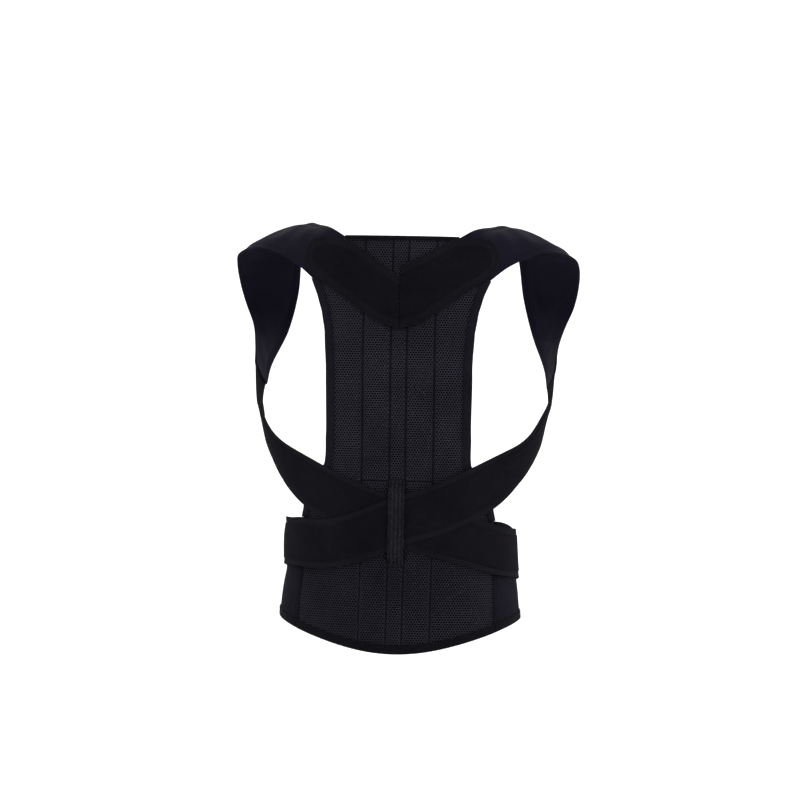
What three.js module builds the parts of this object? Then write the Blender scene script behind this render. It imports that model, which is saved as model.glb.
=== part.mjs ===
// A thoracolumbar brace in its worn form: a spacer-mesh back panel with padded shoulder straps,
// elastic straps that cross on the back under a loop, and a waist belt closed at the front.
// Millimetres, +Z up, +Y towards the wearer's front, +X to the wearer's right.
// The origin is the middle of the waist hollow. Cloth lies in layers on one torso surface:
// a place on it is a girth, measured round from the middle of the back, and a height.
import * as THREE from 'three';

// Torso hollow that the brace is worn on
const TORSO_HALF_BREADTH = 165;
const TORSO_BACK_DEPTH = 111;
const TORSO_FRONT_DEPTH = 106;
const TORSO_SQUARENESS = 2.3;

// Heights from the waist
const PANEL_TOP = 349.5;
const RIGHT_BELT_TOP = 30;
const LEFT_BELT_TOP = 36;
const HEM_SIDE = -68;
const HEM_BACK = -102.5;
const HEM_FRONT = -58;
const BELT_TOP_FRONT = 30;

// Back panel, as half widths along the cloth
const PANEL_WALL = 3;
const PANEL_TOP_HALF = 63;
const PANEL_SHOULDER_HALF = 98;
const PANEL_WAIST_HALF = 78;
const PANEL_BELT_HALF = 113;
const SHOULDER_CORNER_DROP = 46.5;
const CENTRE_STRIP = 17.2;
const CHANNEL_WIDTH = 30;
const CHANNEL_PUFF = 1.1;

// Belt wings
const WING_WALL = 2.6;
const WING_OVERLAP = 34;
const WING_END_RADIUS = 22;
// Stretch over which the wing that closes on top is lifted: its start before the middle of the front
const LIFT_START = 95;
const LIFT_RUN = 45;

// Folded bindings
const BINDING_WALL = 0.8;
const SIDE_BINDING_WIDTH = 9.5;
const HEM_BINDING_WIDTH = 9;
const TOP_BINDING_WIDTH = 4;
const END_INSET = 1.5;

// Shoulder straps
const SHOULDER_WIDTH = 78;
const SHOULDER_WALL = 4.4;
const SHOULDER_EDGE_WALL = 2;
const SHOULDER_REACH = 148;
const SHOULDER_RISE = 351;
const ROOT_RUN = 28;
const ROOT_NECK_SHARE = 0.6;
const ROOT_SAG = 3.5;
const UNDERARM_RUN = 26;

// V bands
const BAND_WALL = 1.6;
const BAND_REACH = 106;
const RIGHT_NOTCH_DROP = 32;
const LEFT_NOTCH_DROP = 44.5;
const BAND_POINT_DROP = 101;

// Elastic cross straps
const STRAP_WIDTH = 53;
const STRAP_WALL = 1.8;
const STRAP_UNDERARM = 200;
const STRAP_CROSSING = 39.5;
const RIGHT_STRAP_END = 12;
const LEFT_STRAP_END = 4;
const RIGHT_STRAP_BOW = -3.5;
const LEFT_STRAP_BOW = 9;
const RIGHT_STRAP_RISE = 3;
const LEFT_STRAP_RISE = 1;
// Narrowing of a strap towards the underarm, by girth from the middle of the back
const STRAP_ARM_WIDTH = 40;
const TAPER_START = 75;
const TAPER_RUN = 95;
const STRAP_FRONT_GAP = 54;
const CROSSING_HALF = 96;
const CROSSING_FADE = 40;

// Centre loop and hook tabs
const LOOP_WIDTH = 16.5;
const LOOP_WALL = 1.4;
const LOOP_TOP = 85;
const LOOP_BOTTOM = -8;
const LOOP_SEAM = 5;
const LOOP_RAMP = 7;
const TAB_LENGTH = 62;
const TAB_WALL = 1;
const TAB_MARGIN = 4;

// Clearances: between pieces sewn edge to edge, and between cloth layers
const SEAM_GAP = 0.35;
const LAYER_GAP = 0.8;

// Offsets of the layers from the torso, each worked out from the one below
const BINDING_TOP = PANEL_WALL + SEAM_GAP + BINDING_WALL;
const LOWER_STRAP = BINDING_TOP + LAYER_GAP;
const UPPER_STRAP = LOWER_STRAP + STRAP_WALL + LAYER_GAP;
const LOOP_OVER = UPPER_STRAP + STRAP_WALL + LAYER_GAP;
const BAND_UNDER = BINDING_TOP + LAYER_GAP;
const WING_LIFT = WING_WALL + 2 * (SEAM_GAP + BINDING_WALL) + LAYER_GAP;

// Torso sections: height as a share of the panel's top, half breadth and depths as shares of theirs
const TORSO = [
  { height: -0.30, breadth: 0.812, back: 0.928, front: 0.953 },
  { height: -0.19, breadth: 0.796, back: 0.892, front: 0.943 },
  { height: -0.06, breadth: 0.758, back: 0.829, front: 0.934 },
  { height: 0.09, breadth: 0.745, back: 0.802, front: 0.934 },
  { height: 0.23, breadth: 0.800, back: 0.820, front: 0.943 },
  { height: 0.345, breadth: 0.885, back: 0.865, front: 0.962 },
  { height: 0.475, breadth: 0.958, back: 0.928, front: 0.990 },
  { height: 0.63, breadth: 0.994, back: 0.991, front: 1.000 },
  { height: 0.83, breadth: 1.000, back: 1.000, front: 0.906 },
  { height: 0.95, breadth: 1.000, back: 0.901, front: 0.755 },
  { height: 1.05, breadth: 1.000, back: 0.739, front: 0.566 },
];

// Panel sides between the belt and the shoulder corner: height as a share of the corner's,
// flare from the waist width (0) out to the belt's (1), or to the shoulder's (wide)
const PANEL_SIDE = [
  { height: 0.132, flare: 1.00, wide: 0 },
  { height: 0.190, flare: 0.85, wide: 0 },
  { height: 0.250, flare: 0.42, wide: 0 },
  { height: 0.330, flare: 0.07, wide: 0 },
  { height: 0.450, flare: 0.00, wide: 0.02 },
  { height: 0.680, flare: 0.00, wide: 0.04 },
  { height: 0.805, flare: 0.00, wide: 0.15 },
  { height: 0.875, flare: 0.00, wide: 0.31 },
  { height: 0.935, flare: 0.00, wide: 0.57 },
  { height: 1.000, flare: 0.00, wide: 1.00 },
];

// Free stretch of a shoulder strap, from behind the shoulder to its front. The middle is in shares of
// the reach, the torso's back depth and the rise, the width in shares of its own, and the direction
// across runs from the neck side to the arm side. The bulge is a share of the width.
const SHOULDER = [
  { out: 0.845, fore: -0.420, up: 0.998, width: 0.90, across: [0.84, -0.22, -0.36], bulge: 0.030 },
  { out: 1.000, fore: -0.090, up: 0.997, width: 1.10, across: [0.89, -0.20, -0.41], bulge: 0.045 },
  { out: 1.055, fore: 0.200, up: 0.965, width: 1.06, across: [0.89, -0.18, -0.41], bulge: 0.045 },
  { out: 1.070, fore: 0.440, up: 0.895, width: 0.96, across: [0.90, -0.20, -0.38], bulge: 0.040 },
  { out: 1.070, fore: 0.600, up: 0.812, width: 0.81, across: [0.90, -0.36, -0.18], bulge: 0.035 },
  { out: 1.075, fore: 0.590, up: 0.722, width: 0.66, across: [0.72, -0.66, 0.16], bulge: 0.030 },
];

// Route of an elastic strap on the torso: girth in quarters (0 at the middle of the back, 1 at the
// side, 2 at the middle of the front) and height, in shares of the heights that its columns name.
// rise and bow are the shares of the strap's own rise and bow that are added to the height. Where
// front is 1, the girth stops short of its place by the front gap
const STRAP_ROUTE = [
  { quarter: 1.085, underarm: 1.000, crossing: 0, end: 0, rise: 0, bow: 0, front: 0 },
  { quarter: 0.990, underarm: 0.830, crossing: 0, end: 0, rise: 0.2, bow: 0, front: 0 },
  { quarter: 0.890, underarm: 0.655, crossing: 0, end: 0, rise: 0.5, bow: 0, front: 0 },
  { quarter: 0.790, underarm: 0.450, crossing: 0.50, end: 0, rise: 0.8, bow: 0, front: 0 },
  { quarter: 0.635, underarm: 0.268, crossing: 0.90, end: 0, rise: 1.0, bow: 0, front: 0 },
  { quarter: 0.444, underarm: 0.148, crossing: 1.00, end: 0, rise: 0.45, bow: 0, front: 0 },
  { quarter: 0.242, underarm: 0.070, crossing: 1.00, end: 0, rise: 0, bow: 0, front: 0 },
  { quarter: 0.000, underarm: 0, crossing: 1.00, end: 0, rise: 0, bow: 0, front: 0 },
  { quarter: -0.225, underarm: 0, crossing: 0.50, end: 0.50, rise: 0, bow: 0.8, front: 0 },
  { quarter: -0.430, underarm: 0, crossing: 0.20, end: 0.80, rise: 0, bow: 1.0, front: 0 },
  { quarter: -0.700, underarm: 0, crossing: 0.06, end: 1.00, rise: 0, bow: 0.2, front: 0 },
  { quarter: -1.000, underarm: 0, crossing: 0, end: 1.00, rise: 0, bow: 0, front: 0 },
  { quarter: -1.350, underarm: 0, crossing: -0.25, end: 1.00, rise: 0, bow: 0, front: 0 },
  { quarter: -2.000, underarm: 0, crossing: -0.50, end: 1.00, rise: 0, bow: 0, front: 1 },
];

// Edges of a V band from the middle outwards: girth as a share of its reach, height from the band's
// lower point (0) to the panel's top (1)
const BAND_EDGES = [
  { lowOut: 0.003, lowUp: 0.000, highOut: 0.003, highUp: 0.568 },
  { lowOut: 0.190, lowUp: 0.058, highOut: 0.150, highUp: 0.673 },
  { lowOut: 0.390, lowUp: 0.195, highOut: 0.320, highUp: 0.805 },
  { lowOut: 0.600, lowUp: 0.366, highOut: 0.480, highUp: 0.922 },
  { lowOut: 0.800, lowUp: 0.503, highOut: 0.640, highUp: 0.980 },
  { lowOut: 0.935, lowUp: 0.600, highOut: 0.790, highUp: 0.992 },
  { lowOut: 0.985, lowUp: 0.688, highOut: 0.900, highUp: 0.978 },
  { lowOut: 1.000, lowUp: 0.766, highOut: 0.970, highUp: 0.898 },
];

// Columns of half the panel. Within a stay channel a place is a share of its width, and between the
// channel and the panel's edge a share of that stretch. puff is a share of the channel's
const CHANNEL_COLUMNS = [
  { place: 0, puff: 0 },
  { place: 0.2, puff: 0.8 },
  { place: 0.5, puff: 1 },
  { place: 0.8, puff: 0.8 },
  { place: 1, puff: 0 },
];
const FIELD_COLUMNS = [
  { place: 0.22, puff: 0.35 },
  { place: 0.44, puff: 0.45 },
  { place: 0.63, puff: 0.2 },
  { place: 0.78, puff: 0 },
  { place: 0.90, puff: 0 },
  { place: 1.00, puff: 0 },
];
const STRIP_PUFF = 0.5;

// Bend of the loop's ends: way down the ramp as a share of its run, and lift over the straps
const LOOP_BEND = [
  { run: 0, lift: 0 },
  { run: 0.4, lift: 0.5 },
  { run: 0.8, lift: 1 },
  { run: 1.2, lift: 1 },
];

// Steps of the facets along and across each cloth
const ARC_STEPS = 160;
const LENGTH_STEPS = 200;
const BELT_STEPS = 4;
const FLARE_STEPS = 6;
const FLARE_TOP = 0.33;
const SIDE_STEPS = 11;
const ROOT_STEPS = 2;
const TOP_BINDING_STEPS = 14;
const WING_STEPS = 22;
const CORNER_STEPS = 4;
const STRAP_STEPS = 60;
const STRAP_COLUMNS = 3;
const TAB_STEPS = 6;
const LOOP_STEPS = 6;
const LOOP_COLUMNS = 2;
const BAND_STEPS = 10;
const BAND_COLUMNS = 5;
const SHOULDER_STEPS = 38;
const SHOULDER_COLUMNS = 4;
// Steps over which a shoulder strap's ends turn level with the walls that they meet
const LEVEL_STEPS = 3;

// Reach to either side over which the way along a cloth is found, in girth and as a path's share
const NORMAL_REACH = 3;
const PATH_REACH = 0.004;
const QUARTER_TURN = Math.PI / 2;

const lerp = THREE.MathUtils.lerp;
const smooth = (value) => THREE.MathUtils.smoothstep(value, 0, 1);
const shares = (count) => Array.from({ length: count + 1 }, (_, i) => i / count);

// Smooth value of a table's column at a place in another column
function tableValue(rows, place, key, value) {
  let i = 0;
  while (i < rows.length - 2 && value > rows[i + 1][place]) i += 1;
  const row = (k) => rows[THREE.MathUtils.clamp(k, 0, rows.length - 1)];
  const span = rows[i + 1][place] - rows[i][place];
  const slope = (k) => {
    const width = row(k + 1)[place] - row(k - 1)[place];
    return (row(k + 1)[key] - row(k - 1)[key]) / width;
  };
  const t = THREE.MathUtils.clamp((value - rows[i][place]) / span, 0, 1);
  const start = rows[i][key];
  const end = rows[i + 1][key];
  const startBend = slope(i) * span - (end - start);
  const endBend = slope(i + 1) * span - (end - start);
  const bend = (t - 1) * startBend - t * endBend;
  return lerp(start, end, t) - t * (1 - t) * bend;
}

function torsoSection(z) {
  const height = z / PANEL_TOP;
  return {
    breadth: TORSO_HALF_BREADTH * tableValue(TORSO, 'height', 'breadth', height),
    back: TORSO_BACK_DEPTH * tableValue(TORSO, 'height', 'back', height),
    front: TORSO_FRONT_DEPTH * tableValue(TORSO, 'height', 'front', height),
  };
}

// Point of a rounded-square section at an angle from the middle of the back
function sectionPoint(section, angle) {
  const power = 2 / TORSO_SQUARENESS;
  const side = Math.sin(angle);
  const rear = Math.cos(angle);
  const depth = rear > 0 ? section.back : section.front;
  return new THREE.Vector2(
    section.breadth * Math.sign(side) * Math.abs(side) ** power,
    -depth * Math.sign(rear) * Math.abs(rear) ** power,
  );
}

const sectionStore = new Map();

// Half section at a height, as points with their girths
function halfSection(z) {
  const key = z.toFixed(3);
  if (sectionStore.has(key)) return sectionStore.get(key);
  const section = torsoSection(z);
  const points = [];
  const girths = [];
  let girth = 0;
  for (const share of shares(2 * ARC_STEPS)) {
    const point = sectionPoint(section, share * Math.PI);
    if (points.length > 0) girth += point.distanceTo(points[points.length - 1]);
    points.push(point);
    girths.push(girth);
  }
  const half = { points, girths, quarter: girths[ARC_STEPS], total: girth };
  sectionStore.set(key, half);
  return half;
}

const quarterGirth = (z) => halfSection(z).quarter;

// Girth of a place given in quarters, with the back and front quarters each of their own length
function girthAt(quarter, z) {
  const half = halfSection(z);
  const size = Math.abs(quarter);
  const girth = size <= 1 ? size * half.quarter : half.quarter + (size - 1) * (half.total - half.quarter);
  return Math.sign(quarter) * girth;
}

// Place on the torso's skin, in plan, at a girth and a height
function skinPoint(girth, z) {
  const { points, girths, total } = halfSection(z);
  const turn = 2 * total;
  let place = girth - turn * Math.round(girth / turn);
  const side = Math.sign(place) || 1;
  place = Math.abs(place);
  let low = 0;
  let high = girths.length - 1;
  while (high - low > 1) {
    const middle = (low + high) >> 1;
    if (girths[middle] <= place) low = middle;
    else high = middle;
  }
  const t = (place - girths[low]) / (girths[high] - girths[low]);
  return new THREE.Vector2(
    side * lerp(points[low].x, points[high].x, t),
    lerp(points[low].y, points[high].y, t),
  );
}

// Point of a cloth layer: the skin's place moved outwards, level, by the layer's offset
function layerPoint(girth, z, offset) {
  const before = skinPoint(girth - NORMAL_REACH, z);
  const after = skinPoint(girth + NORMAL_REACH, z);
  const along = after.sub(before).normalize();
  const skin = skinPoint(girth, z);
  return new THREE.Vector3(skin.x + along.y * offset, skin.y - along.x * offset, z);
}

// One closed body from points and triangles, turned so that its faces point out
function closedBody(points, triangles) {
  let volume = 0;
  for (const [a, b, c] of triangles) {
    volume += points[a].dot(new THREE.Vector3().crossVectors(points[b], points[c]));
  }
  const facing = volume > 0 ? triangles : triangles.map(([a, b, c]) => [a, c, b]);
  const geometry = new THREE.BufferGeometry();
  const places = new THREE.Float32BufferAttribute(points.flatMap((p) => p.toArray()), 3);
  geometry.setAttribute('position', places);
  geometry.setIndex(facing.flat());
  geometry.computeVertexNormals();
  return geometry;
}

// Closed wall between an inner and an outer grid of points
function wall(rows, columns, outer, inner) {
  const points = [];
  const triangles = [];
  const width = columns.length;
  const face = rows.length * width;
  for (const side of [outer, inner]) {
    for (const row of rows) {
      for (const column of columns) points.push(side(row, column));
    }
  }
  const quad = (a, b, c, d) => triangles.push([a, b, c], [a, c, d]);
  for (let i = 0; i + 1 < rows.length; i += 1) {
    for (let j = 0; j + 1 < width; j += 1) {
      const a = i * width + j;
      quad(a, a + 1, a + width + 1, a + width);
      quad(face + a, face + a + width, face + a + width + 1, face + a + 1);
    }
  }
  const rim = [];
  for (let j = 0; j < width - 1; j += 1) rim.push(j);
  for (let i = 0; i < rows.length - 1; i += 1) rim.push(i * width + width - 1);
  for (let j = width - 1; j > 0; j -= 1) rim.push((rows.length - 1) * width + j);
  for (let i = rows.length - 1; i > 0; i -= 1) rim.push(i * width);
  rim.forEach((a, k) => {
    const b = rim[(k + 1) % rim.length];
    quad(b, a, face + a, face + b);
  });
  return closedBody(points, triangles);
}

// Closed body swept by an outline of [inwards, offset] pairs along stations that place them
function swept(stations, outline, place) {
  const ring = (station) => outline.map(([inwards, offset]) => place(station, inwards, offset));
  const points = stations.flatMap(ring);
  const count = outline.length;
  const triangles = [];
  for (let i = 0; i + 1 < stations.length; i += 1) {
    for (let k = 0; k < count; k += 1) {
      const a = i * count + k;
      const b = i * count + ((k + 1) % count);
      triangles.push([a, b, b + count], [a, b + count, a + count]);
    }
  }
  const flat = outline.map(([inwards, offset]) => new THREE.Vector2(inwards, offset));
  const last = (stations.length - 1) * count;
  const turned = THREE.ShapeUtils.isClockWise(flat);
  for (const [a, b, c] of THREE.ShapeUtils.triangulateShape(flat, [])) {
    triangles.push(turned ? [a, b, c] : [c, b, a]);
    triangles.push(turned ? [last + c, last + b, last + a] : [last + a, last + b, last + c]);
  }
  return closedBody(points, triangles);
}

function material({ color, roughness }) {
  return new THREE.MeshStandardMaterial({ color, roughness, metalness: 0 });
}

function piece(name, geometry, look) {
  const mesh = new THREE.Mesh(geometry, material(look));
  mesh.name = name;
  return mesh;
}

// Mirror image of a wall's or sweep's points, for the left side
const mirrored = (side) => (point) => new THREE.Vector3(side * point.x, point.y, point.z);

// Outline of a folded binding that takes an edge of the given wall, with legs of some steps
function bindingOutline(width, edgeWall, steps) {
  const inside = -SEAM_GAP;
  const outside = edgeWall + SEAM_GAP;
  const leg = (start, offset) => shares(steps).map((share) => [lerp(start, width, share), offset]);
  return [
    ...leg(-SEAM_GAP - BINDING_WALL, inside - BINDING_WALL),
    ...leg(-SEAM_GAP, inside).reverse(),
    ...leg(-SEAM_GAP, outside),
    ...leg(-SEAM_GAP - BINDING_WALL, outside + BINDING_WALL).reverse(),
  ];
}

// Point on the torso beside a path station, across it by a distance to the left of its direction
function besidePath(path, share, sideways, offset) {
  const here = path(share);
  const before = path(Math.max(0, share - PATH_REACH));
  const after = path(Math.min(1, share + PATH_REACH));
  const along = after.clone().sub(before).normalize();
  const across = new THREE.Vector2(-along.y, along.x);
  const place = here.clone().addScaledVector(across, sideways);
  return layerPoint(place.x, place.y, offset);
}

// Path through girth and height points
function clothPath(points) {
  const curve = new THREE.SplineCurve(points);
  return (share) => curve.getPointAt(share);
}

// Length of a path along the cloth
function clothLength(path) {
  const points = shares(LENGTH_STEPS).map(path);
  return points.slice(1).reduce((sum, point, i) => sum + point.distanceTo(points[i]), 0);
}

// Back panel

const cornerHeight = PANEL_TOP - SHOULDER_CORNER_DROP;

// Hem's height at a girth: lowest at the middle of the back, level with the side's at the belt's side
function hemHeight(girth) {
  const side = quarterGirth(HEM_SIDE);
  const share = Math.min(1, Math.abs(girth) / side);
  const back = lerp(HEM_BACK, HEM_SIDE, Math.sin(share * QUARTER_TURN) ** 2);
  const past = THREE.MathUtils.clamp(Math.abs(girth) / side - 1, 0, 1);
  return past > 0 ? lerp(HEM_SIDE, HEM_FRONT, smooth(past)) : back;
}

// Panel's half width at a height, along the cloth
function panelHalf(z) {
  if (z >= cornerHeight) {
    return lerp(PANEL_SHOULDER_HALF, PANEL_TOP_HALF, (z - cornerHeight) / SHOULDER_CORNER_DROP);
  }
  const height = z / cornerHeight;
  if (height <= PANEL_SIDE[0].height) return PANEL_BELT_HALF;
  const flare = tableValue(PANEL_SIDE, 'height', 'flare', height);
  const wide = tableValue(PANEL_SIDE, 'height', 'wide', height);
  const flared = flare * (PANEL_BELT_HALF - PANEL_WAIST_HALF);
  return PANEL_WAIST_HALF + flared + wide * (PANEL_SHOULDER_HALF - PANEL_WAIST_HALF);
}

const seamHeight = PANEL_SIDE[0].height * cornerHeight;

// Rows up the belt, the same on the panel and the wings: the edges, the bindings' inner edges and
// the rows between these
function beltRows() {
  const between = shares(BELT_STEPS).map((share) => ({ share, edge: false }));
  return [{ share: 0, edge: true }, ...between, { share: 1, edge: true }];
}

function beltRowHeight(row, low, high) {
  const inset = row.edge ? 0 : Math.min(HEM_BINDING_WIDTH, (high - low) / BELT_STEPS);
  return lerp(low + inset, high - inset, row.share);
}

// Columns of half the panel: the stay channel's seams keep their girths all the way up, and the rest
// are spread over the cloth between the outer seam (0) and the panel's edge (1)
function halfColumns() {
  const strip = CENTRE_STRIP / 2;
  const channel = CHANNEL_COLUMNS.map(({ place, puff }) => ({
    seam: strip + place * CHANNEL_WIDTH, edge: 0, puff,
  }));
  const field = FIELD_COLUMNS.map(({ place, puff }) => ({
    seam: strip + CHANNEL_WIDTH, edge: place, puff,
  }));
  return [...channel, ...field];
}

function panelColumns() {
  const half = halfColumns();
  const left = half.slice().reverse().map((column) => ({ ...column, side: -1 }));
  const right = half.map((column) => ({ ...column, side: 1 }));
  return [...left, { seam: 0, edge: 0, puff: STRIP_PUFF, side: 1 }, ...right];
}

const columnGirth = (column, z) => column.side * lerp(column.seam, panelHalf(z), column.edge);

// Heights of the rows along the panel's sides, closer together where the panel flares
function sideHeights() {
  const flareTop = cornerHeight * FLARE_TOP;
  const flare = shares(FLARE_STEPS).map((share) => lerp(seamHeight + END_INSET, flareTop, share));
  const above = shares(SIDE_STEPS).slice(1);
  const side = above.map((share) => lerp(flareTop, cornerHeight - END_INSET, share));
  return [...flare, ...side];
}

function backPanel() {
  const sides = sideHeights().map((z) => ({ z }));
  const topRow = PANEL_TOP - TOP_BINDING_WIDTH - END_INSET;
  const top = shares(ROOT_STEPS).map((share) => ({ z: lerp(cornerHeight, topRow, share) }));
  const rows = [...beltRows(), ...sides, ...top, { z: PANEL_TOP }];
  const place = (row, column) => {
    if (row.z !== undefined) return { girth: columnGirth(column, row.z), z: row.z };
    const girth = columnGirth(column, seamHeight);
    return { girth, z: beltRowHeight(row, hemHeight(girth), seamHeight) };
  };
  const outer = (row, column) => {
    const { girth, z } = place(row, column);
    const fromHem = z - hemHeight(girth) - HEM_BINDING_WIDTH;
    const fromEnd = Math.min(fromHem, PANEL_TOP - z - TOP_BINDING_WIDTH);
    const puff = CHANNEL_PUFF * column.puff * smooth((fromEnd - END_INSET) / HEM_BINDING_WIDTH);
    return layerPoint(girth, z, PANEL_WALL + puff);
  };
  const inner = (row, column) => {
    const { girth, z } = place(row, column);
    return layerPoint(girth, z, 0);
  };
  return wall(rows, panelColumns(), outer, inner);
}

// Binding along one side of the panel, from the shoulder corner down to the belt seam
function sideBinding(side) {
  const outline = bindingOutline(SIDE_BINDING_WIDTH, PANEL_WALL, 2);
  const mirror = mirrored(side);
  return swept(sideHeights(), outline, (z, inwards, offset) => {
    const slope = (panelHalf(z + END_INSET) - panelHalf(z - END_INSET)) / (2 * END_INSET);
    const level = inwards < 0 ? inwards * Math.hypot(1, slope) : inwards;
    return mirror(layerPoint(panelHalf(z) - level, z, offset));
  });
}

// Binding along the panel's top edge
function topBinding() {
  const reach = PANEL_TOP_HALF - SEAM_GAP - BINDING_WALL;
  const stations = shares(TOP_BINDING_STEPS).map((share) => lerp(-reach, reach, share));
  const outline = bindingOutline(TOP_BINDING_WIDTH, PANEL_WALL, 1);
  return swept(stations, outline, (girth, inwards, offset) => (
    layerPoint(girth, PANEL_TOP - inwards, offset)
  ));
}

// Binding along the panel's hem, between the two belt seams
function hemBinding() {
  const stations = panelColumns().map((column) => columnGirth(column, seamHeight));
  const outline = bindingOutline(HEM_BINDING_WIDTH, PANEL_WALL, 1);
  return swept(stations, outline, (girth, inwards, offset) => (
    layerPoint(girth, hemHeight(girth) + inwards, offset)
  ));
}

// Belt wings

// How far a wing that closes on top is lifted at a girth, by the wing and bindings below
function wingLift(girth, over) {
  const start = halfSection(0).total - LIFT_START;
  return over ? WING_LIFT * smooth((girth - start) / LIFT_RUN) : 0;
}

function wingTop(girth, beltTop) {
  const start = PANEL_BELT_HALF;
  const side = quarterGirth(seamHeight);
  const share = THREE.MathUtils.clamp((girth - start) / (side - start), 0, 1);
  const front = THREE.MathUtils.clamp(girth / side - 1, 0, 1);
  return lerp(seamHeight, beltTop, smooth(share)) + (BELT_TOP_FRONT - beltTop) * smooth(front);
}

const wingStraight = () => halfSection(0).total + WING_OVERLAP - WING_END_RADIUS;

// Girths of a wing's columns up to its rounded end, and the angles round each of the end's corners
const wingStart = PANEL_BELT_HALF + SEAM_GAP;
const wingGirths = () => shares(WING_STEPS).map((share) => lerp(wingStart, wingStraight(), share));
const wingTurns = () => shares(CORNER_STEPS).slice(1).map((share) => share * QUARTER_TURN);

function beltWing({ side, overWing, beltTop }) {
  const straight = wingGirths().map((girth) => ({ girth, trim: 0 }));
  const round = wingTurns().map((angle) => ({
    girth: wingStraight() + WING_END_RADIUS * Math.sin(angle),
    trim: WING_END_RADIUS * (1 - Math.cos(angle)),
  }));
  const mirror = mirrored(side);
  const layer = (offset) => ({ girth, trim }, row) => {
    const edge = Math.min(girth, wingStraight());
    const z = beltRowHeight(row, hemHeight(edge) + trim, wingTop(edge, beltTop) - trim);
    return mirror(layerPoint(girth, z, offset + wingLift(girth, overWing)));
  };
  return wall([...straight, ...round], beltRows(), layer(WING_WALL), layer(0));
}

// Binding round a wing's free edge: along the hem, round the front end and back along the top
function wingBinding({ side, overWing, beltTop }) {
  const edgeHeight = (girth, up) => (up < 0 ? wingTop(girth, beltTop) : hemHeight(girth));
  const straight = (up) => wingGirths().map((girth) => ({
    at: new THREE.Vector2(girth, edgeHeight(girth, up)),
    inwards: new THREE.Vector2(0, up),
  }));
  const corner = (up) => wingTurns().map((angle) => {
    const inwards = new THREE.Vector2(-Math.sin(angle), up * Math.cos(angle));
    const height = edgeHeight(wingStraight(), up) + up * WING_END_RADIUS;
    const centre = new THREE.Vector2(wingStraight(), height);
    return { at: centre.addScaledVector(inwards, -WING_END_RADIUS), inwards };
  });
  const low = [...straight(1), ...corner(1)];
  const high = [...straight(-1), ...corner(-1)].reverse();
  const foot = low[low.length - 1].at;
  const head = high[0].at;
  const end = beltRows().slice(1, -1).map((row) => ({
    at: new THREE.Vector2(foot.x, beltRowHeight(row, foot.y, head.y)),
    inwards: new THREE.Vector2(-1, 0),
  }));
  const mirror = mirrored(side);
  const outline = bindingOutline(HEM_BINDING_WIDTH, WING_WALL, 1);
  return swept([...low, ...end, ...high], outline, (station, inwards, offset) => {
    const place = station.at.clone().addScaledVector(station.inwards, inwards);
    return mirror(layerPoint(place.x, place.y, offset + wingLift(place.x, overWing)));
  });
}

// Elastic cross straps

function strapPath({ end, rise, bow }) {
  const points = STRAP_ROUTE.map((row) => {
    const back = row.underarm * STRAP_UNDERARM + row.crossing * STRAP_CROSSING;
    const z = back + row.end * end + row.rise * rise + row.bow * bow;
    return new THREE.Vector2(girthAt(row.quarter, z) + row.front * STRAP_FRONT_GAP, z);
  });
  return clothPath(points);
}

// Half width of a strap where its middle has a girth
function strapHalf(girth) {
  return lerp(STRAP_WIDTH, STRAP_ARM_WIDTH, smooth((girth - TAPER_START) / TAPER_RUN)) / 2;
}

// Offset of a strap's inner face: over the belt, and over the other strap where they cross
function strapOffset(girth, upper) {
  if (!upper) return LOWER_STRAP;
  const share = smooth((CROSSING_HALF + CROSSING_FADE - Math.abs(girth)) / CROSSING_FADE);
  return lerp(LOWER_STRAP, UPPER_STRAP, share);
}

// Strap from an underarm across the back and round the other waist side. The half's side is 1 for the
// right one and -1 for the left one, and overWing says whose wing closes on top.
function strapLayer(half, upper) {
  const path = strapPath(half);
  const mirror = mirrored(half.side);
  return (share, sideways, offset) => {
    const at = path(share);
    const lift = at.x < 0 ? wingLift(-at.x, !half.overWing) : 0;
    return mirror(besidePath(path, share, sideways, strapOffset(at.x, upper) + lift + offset));
  };
}

function crossStrap(half) {
  const layer = strapLayer(half, half.upper);
  const path = strapPath(half);
  const face = (offset) => (share, across) => {
    const sideways = lerp(-1, 1, across) * strapHalf(path(share).x);
    return layer(share, sideways, offset);
  };
  return wall(shares(STRAP_STEPS), shares(STRAP_COLUMNS), face(STRAP_WALL), face(0));
}

// Tab under a strap's front end, in the room between it and the belt
function hookTab(half) {
  const layer = strapLayer(half, false);
  const length = clothLength(strapPath(half));
  const start = 1 - TAB_LENGTH / length;
  const finish = 1 - TAB_MARGIN / length;
  const reach = STRAP_WIDTH / 2 - TAB_MARGIN;
  const across = shares(STRAP_COLUMNS).map((share) => lerp(-reach, reach, share));
  const rows = shares(TAB_STEPS).map((share) => lerp(start, finish, share));
  const outer = (share, sideways) => layer(share, sideways, -SEAM_GAP);
  const inner = (share, sideways) => layer(share, sideways, -SEAM_GAP - TAB_WALL);
  return wall(rows, across, outer, inner);
}

// Centre loop

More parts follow.
